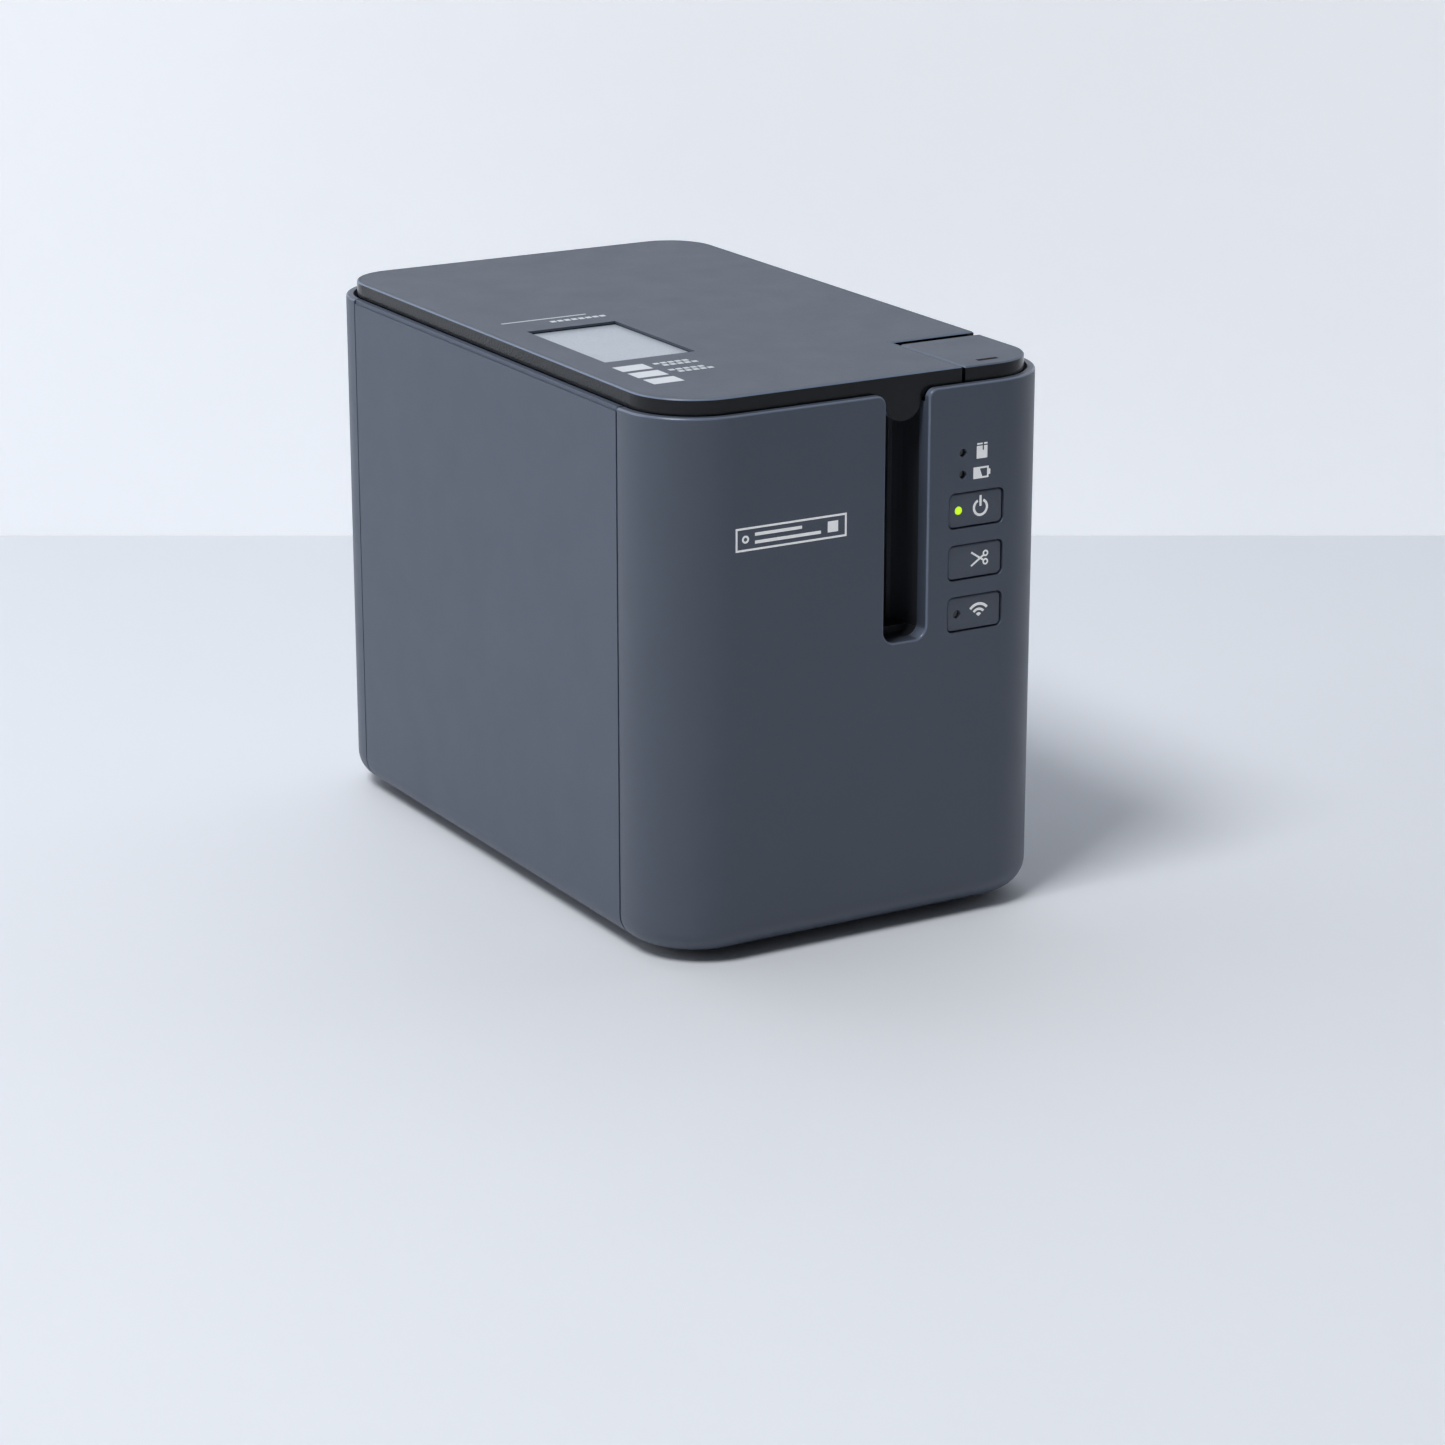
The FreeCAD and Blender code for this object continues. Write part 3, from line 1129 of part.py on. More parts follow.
def case_half(label, z, skin_z):
    outside = case_block(0, z, "CaseOutside")
    inside = case_block(CASE_WALL, skin_z, "CaseInside")
    slit_z = (TAPE_SPAN[0] - 1, TAPE_SPAN[1] + 1)
    way_out = box((d.tape_x - 1.2, d.tape_x + 1.2), (BAY_Y - 2, BAY_Y + 3), slit_z, "CaseSlit")
    drive_hole = rod(4.6, (CASE_Z[0] - 1, CASE_Z[0] + 3), *RIBBON_AT, name="CaseDriveHole")
    return keep(label, cut(outside, inside, way_out, drive_hole, name="CaseHalf"))


def cassette():
    case_half("cassette_base", (CASE_Z[0], CASE_SPLIT), (CASE_Z[0] + CASE_WALL, CASE_SPLIT + 1))
    case_half("cassette_cover", (CASE_SPLIT, CASE_Z[1]), (CASE_SPLIT - 1, CASE_Z[1] - CASE_WALL))
    studs = [rod(3.0, (CASE_Z[0] + CASE_WALL, CASE_Z[1] - CASE_WALL), *at, name="Stud")
             for at in (ROLL_AT, SUPPLY_AT)]
    keep("spool_studs", group(*studs, name="SpoolStuds"))
    sleeve("tape_roll", 22.0, 3.0 + d.fit, TAPE_SPAN, ROLL_AT)
    sleeve("ribbon_supply", 10.0, 3.0 + d.fit, TAPE_SPAN, SUPPLY_AT)
    takeup = (TAPE_SPAN[0], 116.0)
    sleeve("ribbon_takeup", 5.6, 3.0, (takeup[0], TAPE_SPAN[1]), RIBBON_AT)
    x = (d.tape_x - HALF_TAPE, d.tape_x + HALF_TAPE)
    keep("label_tape", box(x, (d.blade_y + 1.5, 30.0), TAPE_SPAN, "LabelTape"))


# ---------------------------------------------------------------- electronics

def main_board():
    board = box((-46.0, 46.0), (-48.0, 86.0), (d.board_z, BOARD_TOP), "Board")
    through = (d.board_z - 1, BOARD_TOP + 1)
    holes = [rod(SHANK + 0.2, through, x, y, name="BoardHole") for x, y in BOARD_POSTS]
    holes += [rod(5.5, through, x, y, name="PostRoom") for x, y in POSTS[2:]]
    chips = [box((-14, 14), (10, 38), (BOARD_TOP, BOARD_TOP + 1.4), "Processor"),
             box((22, 34), (14, 24), (BOARD_TOP, BOARD_TOP + 1.2), "Memory"),
             box((-36, -26), (20, 30), (BOARD_TOP, BOARD_TOP + 1.6), "MotorDriver"),
             rod(5.0, (BOARD_TOP, BOARD_TOP + 16), -34, 44, name="Capacitor"),
             rod(5.0, (BOARD_TOP, BOARD_TOP + 16), -34, 56, name="Capacitor"),
             box((18, 34), (34, 52), (BOARD_TOP, BOARD_TOP + 2.4), "RadioModule"),
             box((20, 30), (-40, -34), (BOARD_TOP, BOARD_TOP + 6), "Header")]
    return keep("main_board", fuse(cut(board, *holes), *chips, name="MainBoard"))


PORT_REAR = HALF_Y - 0.4
PORT_LENGTH = 13.0
PORT_WALL = 1.0


def port_shell(label, inner=None):
    middle, wide, high = PORTS[label]
    x = (middle - wide / 2, middle + wide / 2)
    z = (BOARD_TOP, BOARD_TOP + high)
    y = (PORT_REAR - PORT_LENGTH, PORT_REAR)
    block = box(x, y, z, "PortBlock")
    mouth = box((x[0] + PORT_WALL, x[1] - PORT_WALL), (y[0] + PORT_WALL * 2, y[1] + 1),
                (z[0] + PORT_WALL, z[1] - PORT_WALL), "PortMouth")
    if inner is None:
        return keep(label, cut(block, mouth, name="Port"))
    return keep(label, fuse(cut(block, mouth), inner, name="Port"))


def ports():
    deep = (PORT_REAR - PORT_LENGTH + 1, PORT_REAR - 3)
    middle, wide, high = PORTS["dc_jack"]
    mouth = rod(3.0, (PORT_REAR - 10, PORT_REAR + 1), middle, 0, BOARD_TOP + high / 2, "y", "JackMouth")
    block = box((middle - wide / 2, middle + wide / 2), (PORT_REAR - PORT_LENGTH, PORT_REAR),
                (BOARD_TOP, BOARD_TOP + high), "JackBlock")
    pin = rod(1.0, (PORT_REAR - 11, PORT_REAR - 1), middle, 0, BOARD_TOP + high / 2, "y", "JackPin")
    keep("dc_jack", fuse(cut(block, mouth), pin, name="DcJack"))
    tongues = {"usb_b_port": (5.6, 3.4, 3.6), "usb_a_port": (11.0, 1.8, 3.4)}
    for label, (tongue_wide, tongue_high, low) in tongues.items():
        middle = PORTS[label][0]
        x = (middle - tongue_wide / 2, middle + tongue_wide / 2)
        z = (BOARD_TOP + low, BOARD_TOP + low + tongue_high)
        port_shell(label, box(x, deep, z, "Tongue"))
    port_shell("lan_port")
    port_shell("serial_port")


# ---------------------------------------------------------------- screws

def screw(x, y, z, up, length=8.0):
    """A pan head screw with a cross recess, its head's seat at z."""
    way = 1 if up else -1
    head = rod(2.6, (z, z + 1.8) if up else (z - 1.8, z), x, y, name="ScrewHead")
    shank = rod(SHANK, (z - length, z) if up else (z, z + length), x, y, name="ScrewShank")
    top = z + 1.8 * way
    recess = (top - 0.9, top + 0.5) if up else (top - 0.5, top + 0.9)
    slots = [box((x - 1.3, x + 1.3), (y - 0.3, y + 0.3), recess, "ScrewSlot"),
             box((x - 0.3, x + 0.3), (y - 1.3, y + 1.3), recess, "ScrewSlot")]
    return cut(fuse(head, shank), *slots, name="Screw")


def screws():
    plate = [screw(x, y, d.plate_top, True, 10.0) for x, y in POSTS]
    keep("plate_screws", group(*plate, name="PlateScrews"))
    board = [screw(x, y, BOARD_TOP, True, 7.5) for x, y in BOARD_POSTS]
    keep("board_screws", group(*board, name="BoardScrews"))
    legs = [screw(x, y, PLATE_LOW, False, 10.0) for x, y in LEGS]
    keep("deck_screws", group(*legs, name="DeckScrews"))


# ---------------------------------------------------------------- building and writing

def build():
    shell = whole_shell()
    front_cover(shell)
    label_guide()
    side_panel(shell, -1, "left_panel")
    side_panel(shell, 1, "right_panel")
    rear_cover(shell)
    bottom_case()
    rubber_feet()
    inner_deck()
    hinge_pins()
    lid()
    lid_panel()
    lid_window()
    lid_liner()
    release_button()
    latch_lever()
    latch_pin()
    latch_spring()
    front_key("power_button", 0, "power_lamp")
    front_key("cut_button", 1)
    front_key("wireless_button", 2, "wireless_lamp", 0.8)
    status_lamps()
    panel_board()
    frame_plate()
    print_head()
    heat_sink()
    head_cable()
    feed_motor()
    gears()
    rollers()
    roller_holder()
    cutter_frame()
    fixed_blade()
    moving_blade()
    cutter_drive()
    cassette()
    main_board()
    ports()
    screws()


build()
doc.recompute()
for made in doc.Objects:
    if any(word in made.State for word in ("Invalid", "Error")):
        raise RuntimeError(f"{made.Label}: {made.State}")
for label, made in parts.items():
    if made.Shape.isNull() or not made.Shape.isValid():
        raise RuntimeError(f"{label} has no valid shape")

os.makedirs("parts", exist_ok=True)
for label, made in parts.items():
    made.Shape.exportStep(f"parts/{label}.step")
    print(label, len(made.Shape.Solids), round(made.Shape.Volume))
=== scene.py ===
"""A desktop label maker on a pale table: finishes, printed marks, lamps, camera and light."""
import json
import math

import bmesh
import bpy
from mathutils import Matrix, Vector


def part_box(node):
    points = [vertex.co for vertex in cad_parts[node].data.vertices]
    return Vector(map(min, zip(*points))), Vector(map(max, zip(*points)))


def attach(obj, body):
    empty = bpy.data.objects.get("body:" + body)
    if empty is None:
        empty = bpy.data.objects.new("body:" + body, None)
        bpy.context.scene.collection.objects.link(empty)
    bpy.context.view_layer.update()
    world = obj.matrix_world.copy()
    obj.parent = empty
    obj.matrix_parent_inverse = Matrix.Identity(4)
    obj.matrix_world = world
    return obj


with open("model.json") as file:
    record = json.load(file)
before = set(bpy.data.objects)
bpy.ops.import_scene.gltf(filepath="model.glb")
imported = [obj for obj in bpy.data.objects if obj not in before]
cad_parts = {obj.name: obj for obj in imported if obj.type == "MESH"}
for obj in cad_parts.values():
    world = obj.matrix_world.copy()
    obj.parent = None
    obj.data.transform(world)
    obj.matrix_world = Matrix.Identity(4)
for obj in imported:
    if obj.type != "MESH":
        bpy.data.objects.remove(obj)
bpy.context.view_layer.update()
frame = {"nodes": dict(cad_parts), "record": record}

MM = 0.001

# Most values of a noise texture lie between these two.
NOISE_LOW = 0.3
NOISE_HIGH = 0.7
# The largest part of a normal: above the first a face is flat, and below the second it is an edge.
FLAT_NORMAL = 0.985
EDGE_NORMAL = 0.9
# The upward part of a normal: more than the first is the edge of a top face. A face starts to count as
# upward at the second, and counts in full from the third.
TOP_EDGE = 0.15
UP_START = 0.5
UP_END = 0.65
# Below this height, in metres, only edges that look up count.
BASE_EDGE = 0.012
# Half the width of the flat part of the front, and of the part that holds the buttons, in metres.
FLAT_FRONT = 0.0375
BUTTON_FRONT = 0.045


# ---------------------------------------------------------------- materials

def srgb(red, green, blue):
    """A colour given in display values from 0 to 255, as the shader wants it."""
    def linear(value):
        value = value / 255
        return value / 12.92 if value <= 0.04045 else ((value + 0.055) / 1.055) ** 2.4
    return (linear(red), linear(green), linear(blue), 1.0)


class Surface:
    """One node material: a shader, and helpers that feed it."""

    def __init__(self, name):
        self.material = bpy.data.materials.new(name)
        self.material.use_nodes = True
        self.tree = self.material.node_tree
        self.shader = self.tree.nodes["Principled BSDF"]
        places = self.add("ShaderNodeTexCoord")
        self.coords = places.outputs["Object"]
        self.normal = places.outputs["Normal"]

    def add(self, kind, **inputs):
        node = self.tree.nodes.new(kind)
        for key, value in inputs.items():
            node.inputs[key.replace("_", " ")].default_value = value
        return node

    def link(self, start, node, socket):
        self.tree.links.new(start, node.inputs[socket])

    def stretched(self, scale):
        """Coordinates drawn out along an axis, for brushed metal and wound tape."""
        mapping = self.add("ShaderNodeMapping")
        mapping.inputs["Scale"].default_value = scale
        self.link(self.coords, mapping, "Vector")
        return mapping.outputs["Vector"]

    def noise(self, size_mm, detail=3.0, coords=None):
        node = self.add("ShaderNodeTexNoise", Scale=1 / (size_mm * MM), Detail=detail)
        self.link(coords or self.coords, node, "Vector")
        return node.outputs["Fac"]

    def cells(self, size_mm):
        node = self.add("ShaderNodeTexVoronoi", Scale=1 / (size_mm * MM))
        self.link(self.coords, node, "Vector")
        return node.outputs["Distance"]

    def spread(self, value, low, high):
        """A noise value moved to the range from low to high."""
        node = self.add("ShaderNodeMapRange")
        node.inputs["From Min"].default_value = NOISE_LOW
        node.inputs["From Max"].default_value = NOISE_HIGH
        node.inputs["To Min"].default_value = low
        node.inputs["To Max"].default_value = high
        self.link(value, node, "Value")
        return node.outputs["Result"]

    def shade(self, dark, light, value, start=NOISE_LOW, end=NOISE_HIGH):
        """A base colour between two colours by a value."""
        ramp = self.add("ShaderNodeValToRGB")
        ramp.color_ramp.elements[0].position = start
        ramp.color_ramp.elements[0].color = dark
        ramp.color_ramp.elements[1].position = end
        ramp.color_ramp.elements[1].color = light
        self.link(value, ramp, "Fac")
        self.link(ramp.outputs["Color"], self.shader, "Base Color")
        return ramp.outputs["Color"]

    def compute(self, operation, first, second=None):
        """Arithmetic on sockets or numbers."""
        node = self.add("ShaderNodeMath")
        node.operation = operation
        for place, value in enumerate((first, second)):
            if isinstance(value, (int, float)):
                node.inputs[place].default_value = value
            elif value is not None:
                self.link(value, node, place)
        return node.outputs["Value"]

    def edges(self, flat_half):
        """One on small rounded edges and lips, nought on flats and on the tall corners of the case.

        Apart from edges that look up, only those within flat_half metres of the middle count.
        """
        turned = self.add("ShaderNodeSeparateXYZ")
        self.link(self.normal, turned, "Vector")
        placed = self.add("ShaderNodeSeparateXYZ")
        self.link(self.coords, placed, "Vector")
        largest = self.compute("ABSOLUTE", turned.outputs["X"])
        for axis in "YZ":
            largest = self.compute("MAXIMUM", largest, self.compute("ABSOLUTE", turned.outputs[axis]))
        slanted = self.add("ShaderNodeMapRange")
        slanted.inputs["From Min"].default_value = FLAT_NORMAL
        slanted.inputs["From Max"].default_value = EDGE_NORMAL
        self.link(largest, slanted, "Value")
        inner = self.compute("LESS_THAN", self.compute("ABSOLUTE", placed.outputs["X"]), flat_half)
        above = self.compute("GREATER_THAN", placed.outputs["Z"], BASE_EDGE)
        upper = self.compute("GREATER_THAN", turned.outputs["Z"], TOP_EDGE)
        wanted = self.compute("MAXIMUM", self.compute("MULTIPLY", inner, above), upper)
        return self.compute("MULTIPLY", slanted.outputs["Result"], wanted)

    def upward(self):
        """One on faces that look up out of the piece, nought on its sides."""
        split = self.add("ShaderNodeSeparateXYZ")
        self.link(self.normal, split, "Vector")
        turned = self.add("ShaderNodeMapRange")
        turned.inputs["From Min"].default_value = UP_START
        turned.inputs["From Max"].default_value = UP_END
        self.link(split.outputs["Z"], turned, "Value")
        return turned.outputs["Result"]

    def mixed(self, first, second, factor):
        """A blend of two colours or sockets by a socket."""
        node = self.add("ShaderNodeMix")
        node.data_type = "RGBA"
        self.link(factor, node, 0)
        for place, value in ((6, first), (7, second)):
            if isinstance(value, tuple):
                node.inputs[place].default_value = value
            else:
                self.link(value, node, place)
        return node.outputs[2]

    def bump(self, value, depth_mm, strength=1.0, under=None):
        node = self.add("ShaderNodeBump", Strength=strength, Distance=depth_mm * MM)
        self.link(value, node, "Height")
        if under is not None:
            self.link(under, node, "Normal")
        self.link(node.outputs["Normal"], self.shader, "Normal")
        return node.outputs["Normal"]


# Roughness of polished sides and of rubbed edges, and how much lighter edges are painted: partly wear,
# partly a painted highlight.
POLISHED = 0.17
RUBBED = 0.25
RUBBED_HIGHLIGHT_TINT = 3.0
# Sizes in millimetres of flow marks and of patches left by handling.
FLOW_MM = 30
HANDLED_MM = 12
# Specks and pits, in sizes of the grain.
SPECK_GRAINS = 1.6
PIT_GRAINS = 1.4


def tint(colour, factor):
    """A colour made lighter or darker."""
    return tuple(min(1.0, part * factor) for part in colour[:3]) + (1.0,)


def moulded(name, colour, rough, grain_mm=0.35, depth_mm=0.012, vary=0.025, specular=0.5, speck=0.0,
            edge_wear_and_highlight=0.0, flat_half=FLAT_FRONT, sides=None, glow=0.0):
    """Moulded plastic: eroded grain, faint flow marks, and gloss that varies from handling.

    Where edge wear is given, edges are made smoother and painted lighter, partly as wear and partly as a
    painted highlight. Where sides is given, only faces that look up have the textured colour, and the rest
    are polished.
    """
    surface = Surface(name)
    broad = surface.noise(FLOW_MM, 3)
    if speck:
        mixed = surface.add("ShaderNodeMix")
        mixed.inputs["Factor"].default_value = speck
        surface.link(broad, mixed, "A")
        surface.link(surface.noise(grain_mm * SPECK_GRAINS, 2), mixed, "B")
        broad = mixed.outputs["Result"]
    body = surface.shade(tint(colour, 1 - vary), tint(colour, 1 + vary), broad)
    gloss = surface.spread(surface.noise(HANDLED_MM, 4), rough * 0.96, rough * 1.05)
    if sides:
        upward = surface.upward()
        body = surface.mixed(sides, body, upward)
        polish = surface.add("ShaderNodeMapRange")
        polish.inputs["To Min"].default_value = POLISHED
        surface.link(upward, polish, "Value")
        surface.link(gloss, polish, "To Max")
        gloss = polish.outputs["Result"]
    # Lighter edges: partly wear, partly a painted highlight where light catches the small rounded edges.
    if edge_wear_and_highlight:
        rubbed_and_highlighted = surface.edges(flat_half)
        body = surface.mixed(body, tint(colour, RUBBED_HIGHLIGHT_TINT), surface.compute("MULTIPLY", rubbed_and_highlighted, edge_wear_and_highlight))
        smooth = surface.add("ShaderNodeMapRange")
        smooth.inputs["To Max"].default_value = RUBBED
        surface.link(rubbed_and_highlighted, smooth, "Value")
        surface.link(gloss, smooth, "To Min")
        gloss = smooth.outputs["Result"]
    surface.link(body, surface.shader, "Base Color")
    surface.link(gloss, surface.shader, "Roughness")
    coarse = surface.bump(surface.cells(grain_mm * PIT_GRAINS), depth_mm, 0.6)
    surface.bump(surface.noise(grain_mm, 3), depth_mm, 0.8, coarse)
    surface.shader.inputs["Specular IOR Level"].default_value = specular
    surface.shader.inputs["Emission Color"].default_value = colour
    surface.shader.inputs["Emission Strength"].default_value = glow
    return surface.material


def glossy(name, colour, rough, coat=0.5, vary=0.1):
    """Polished plastic with faint waves and fine hairline marks."""
    surface = Surface(name)
    surface.shade(tint(colour, 1 - vary), tint(colour, 1 + vary), surface.noise(14, 3))
    hairs = surface.noise(0.6, 6, surface.stretched((1.0, 14.0, 14.0)))
    surface.link(surface.spread(hairs, rough * 0.7, rough * 1.5), surface.shader, "Roughness")
    surface.bump(surface.noise(6, 2), 0.02, 0.3)
    surface.shader.inputs["Coat Weight"].default_value = coat
    surface.shader.inputs["Coat Roughness"].default_value = 0.06
    return surface.material


def metal(name, colour, rough=0.32, along=(1.0, 20.0, 20.0)):
    """Brushed or rolled metal, duller in patches."""
    surface = Surface(name)
    surface.shader.inputs["Metallic"].default_value = 1.0
    surface.shade(tint(colour, 0.82), tint(colour, 1.08), surface.noise(7, 5))
    lines = surface.noise(0.5, 6, surface.stretched(along))
    surface.link(surface.spread(lines, rough * 0.75, rough * 1.35), surface.shader, "Roughness")
    surface.bump(lines, 0.006, 0.5)
    return surface.material


def rubber(name, colour, rough=0.75):
    """Matt rubber with a fine grain."""
    surface = Surface(name)
    surface.shade(tint(colour, 0.8), tint(colour, 1.25), surface.noise(5, 5))
    surface.link(surface.spread(surface.noise(3, 4), rough * 0.88, rough * 1.1), surface.shader, "Roughness")
    surface.bump(surface.noise(0.25, 4), 0.02, 0.7)
    return surface.material


def glowing(name, colour, strength):
    """A lamp's lens, lit from behind, in a slightly uneven colour."""
    surface = Surface(name)
    surface.shade(tint(colour, 0.85), colour, surface.noise(0.8, 2))
    surface.link(surface.spread(surface.noise(1.5, 2), 0.16, 0.3), surface.shader, "Roughness")
    surface.bump(surface.noise(0.5, 2), 0.01, 0.4)
    surface.shader.inputs["Emission Color"].default_value = colour
    surface.shader.inputs["Emission Strength"].default_value = strength
    return surface.material


def circuit(name):
    """Solder mask, raised and lighter or darker in cells as if over tracks."""
    surface = Surface(name)
    tracks = surface.cells(2.2)
    surface.shade(srgb(12, 62, 38), srgb(24, 96, 58), tracks, 0.1, 0.35)
    surface.link(surface.spread(surface.noise(4, 3), 0.25, 0.42), surface.shader, "Roughness")
    surface.bump(tracks, 0.03, 0.5)
    return surface.material


def wound(name, colour, rough):
    """Wound film: fine rings seen on the end faces."""
    surface = Surface(name)
    surface.shade(tint(colour, 0.82), colour, surface.noise(0.4, 4, surface.stretched((1.0, 1.0, 0.05))))
    surface.link(surface.spread(surface.noise(2, 3), rough * 0.8, rough * 1.2), surface.shader, "Roughness")
    surface.bump(surface.noise(0.3, 3, surface.stretched((0.2, 0.2, 3.0))), 0.02, 0.5)
    return surface.material


CASE = srgb(76, 84, 98)
LID = srgb(71, 80, 94)
BLACK = srgb(13, 16, 21)
# The side panels are the front's plastic in a darker copy of its colour: painted shade that dims the
# brightly lit left side.
SHADED_SIDE = srgb(70, 80, 97)
LID_GRAIN = {"rough": 0.47, "grain_mm": 0.5, "depth_mm": 0.03, "vary": 0.07, "speck": 0.75, "specular": 0.3}
FINISHES = {
    "front_shell": moulded("front_shell_finish", CASE, 0.44, speck=0.3, edge_wear_and_highlight=0.5),
    "side_shell": moulded("side_shell_shaded_finish", SHADED_SIDE, 0.44, speck=0.3, edge_wear_and_highlight=0.35),
    "dark_plastic": moulded("dark_plastic_finish", srgb(32, 33, 36), 0.5, specular=0.35),
    "gloss_frame": moulded("gloss_frame_finish", LID, edge_wear_and_highlight=0.8, sides=BLACK, **LID_GRAIN),
    "lid_sheet": moulded("lid_sheet_finish", LID, **LID_GRAIN),
    # The pane is an opaque pale grey in place of a clear pane: painted reflection of the bright room.
    "window": glossy("window_pale_reflection", srgb(168, 176, 187), 0.3, coat=0.0, vary=0.02),
    "button_plastic": moulded("button_finish", srgb(78, 85, 97), 0.46, grain_mm=0.4, depth_mm=0.015,
                              speck=0.5, vary=0.05, edge_wear_and_highlight=0.6, flat_half=BUTTON_FRONT),
    "lens_green": glowing("lit_lens", srgb(175, 215, 20), 1.0),
    "lens_dark": glossy("unlit_lens", srgb(24, 25, 28), 0.2),
    "foot_rubber": rubber("foot_rubber_finish", srgb(34, 34, 36)),
    "roller_rubber": rubber("roller_rubber_finish", srgb(58, 58, 62), 0.6),
    "steel": metal("steel_finish", srgb(188, 190, 194)),
    "tool_steel": metal("tool_steel_finish", srgb(206, 208, 212), 0.22),
    "aluminium": metal("aluminium_finish", srgb(208, 210, 212), 0.38, along=(20.0, 20.0, 1.0)),
    "ceramic_head": glossy("ceramic_head_finish", srgb(120, 104, 84), 0.18),
    "gear_plastic": moulded("gear_plastic_finish", srgb(226, 224, 214), 0.4, grain_mm=0.6,
                            depth_mm=0.006),
    "brass": metal("brass_finish", srgb(214, 178, 104), 0.26),
    "motor_metal": metal("motor_metal_finish", srgb(168, 170, 176), 0.36),
    "circuit_board": circuit("circuit_board_finish"),
    "cable_film": glossy("cable_film_finish", srgb(214, 214, 206), 0.3, coat=0.1),
    "cassette_plastic": moulded("cassette_plastic_finish", srgb(204, 208, 214), 0.42),
    "spool_plastic": moulded("spool_plastic_finish", srgb(228, 228, 224), 0.42, grain_mm=0.5,
                             depth_mm=0.006),
    "tape": wound("tape_finish", srgb(236, 236, 230), 0.34),
    "ribbon": wound("ribbon_finish", srgb(28, 28, 32), 0.22),
    "socket_metal": metal("socket_metal_finish", srgb(196, 196, 198), 0.3),
}
# Two pieces differ from the finish of their slot.
OWN_FINISHES = {
    "release_button": moulded("release_finish", LID, 0.46, grain_mm=0.4, depth_mm=0.02, vary=0.06,
                              speck=0.7, edge_wear_and_highlight=0.4, specular=0.3, sides=BLACK),
    # The label guide is a grey darker than the case: painted shade deep inside the label channel.
    "label_guide": moulded("label_guide_painted_shade", srgb(50, 53, 58), 0.45, specular=0.4),
}
INK_GRAIN = {"rough": 0.5, "grain_mm": 0.25, "depth_mm": 0.004}
# The white print glows faintly: painted light that keeps it bright on the shaded front.
PAINTED_GLOW_INK = moulded("printed_ink_painted_glow", srgb(250, 251, 252), vary=0.02, glow=0.12, **INK_GRAIN)
TICK = moulded("press_mark_finish", srgb(10, 11, 13), 0.7, specular=0.1)
LID_INK = moulded("lid_ink", srgb(206, 210, 216), vary=0.05, **INK_GRAIN)


def paint_nodes():
    """Gives every piece of the frame the finish of its material slot, or its own."""
    for part in frame["record"]["subparts"]:
        piece = frame["nodes"][part["node"]]
        if not piece.material_slots:
            piece.data.materials.append(None)
        for place in piece.material_slots:
            place.material = OWN_FINISHES.get(part["node"], FINISHES[part["material_slot"]])


# ---------------------------------------------------------------- printed marks

# Sizes and places of marks are in millimetres.
INK_THICK = 0.05
ARC_STEPS = 28


def block(x0, y0, x1, y1):
    """A rectangle between two corners."""
    return [(x0, y0), (x1, y0), (x1, y1), (x0, y1)]


def band(x, y, inner, outer, start, end):
    """A strip along an arc, as one outline. Angles are in degrees."""
    turns = [math.radians(start + (end - start) * step / ARC_STEPS) for step in range(ARC_STEPS + 1)]
    outside = [(x + outer * math.cos(turn), y + outer * math.sin(turn)) for turn in turns]
    inside = [(x + inner * math.cos(turn), y + inner * math.sin(turn)) for turn in reversed(turns)]
    return outside + inside


def disc(x, y, radius):
    turns = [2 * math.pi * step / ARC_STEPS for step in range(ARC_STEPS)]
    return [(x + radius * math.cos(turn), y + radius * math.sin(turn)) for turn in turns]


def ring(x, y, inner, outer):
    """A full ring, as two half strips."""
    return [band(x, y, inner, outer, 0, 180), band(x, y, inner, outer, 180, 360)]


def stroke(x0, y0, x1, y1, wide):
    """A straight line of a given width."""
    along = Vector((x1 - x0, y1 - y0)).normalized()
    side = Vector((-along.y, along.x)) * (wide / 2)
    ends = (Vector((x0, y0)), Vector((x1, y1)))
    return [tuple(ends[0] + side), tuple(ends[0] - side), tuple(ends[1] - side), tuple(ends[1] + side)]


def frame_lines(x0, y0, x1, y1, line):
    """The outline of a rectangle, as four strips."""
    return [block(x0, y0, x1, y0 + line), block(x0, y1 - line, x1, y1),
            block(x0, y0 + line, x0 + line, y1 - line), block(x1 - line, y0 + line, x1, y1 - line)]


def printed(name, outlines, at, facing, body, ink):
    """A mark printed on a flat face. Outlines are in millimetres from a place on the face."""
    mesh = bpy.data.meshes.new(name)
    work = bmesh.new()
    for outline in outlines:
        low = [work.verts.new((x, y, -INK_THICK / 2)) for x, y in outline]
        high = [work.verts.new((x, y, INK_THICK)) for x, y in outline]
        work.faces.new(list(reversed(low)))
        work.faces.new(high)
        for number in range(len(outline)):
            after = (number + 1) % len(outline)
            work.faces.new((low[number], low[after], high[after], high[number]))
    bmesh.ops.recalc_face_normals(work, faces=work.faces)
    turn = Matrix.Rotation(math.radians(90), 4, "X") if facing == "front" else Matrix.Identity(4)
    bmesh.ops.transform(work, matrix=turn @ Matrix.Diagonal((MM, MM, MM, 1)), verts=work.verts)
    bmesh.ops.translate(work, vec=Vector(at), verts=work.verts)
    work.to_mesh(mesh)
    work.free()
    mesh.materials.append(ink)
    made = bpy.data.objects.new(name, mesh)
    bpy.context.scene.collection.objects.link(made)
    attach(made, body)


def power_mark():
    """An open ring with a bar at its top."""
    return [band(0, -0.25, 1.65, 2.3, 115, 425), block(-0.32, 0.1, 0.32, 2.9)]


def scissors_mark():
    """Two crossed blades with finger loops."""
    lines = []
    for side in (-1, 1):
        lines += ring(1.8, 1.1 * side, 0.42, 0.85)
        lines.append(stroke(1.15, 0.62 * side, -2.55, -1.8 * side, 0.5))
    return lines


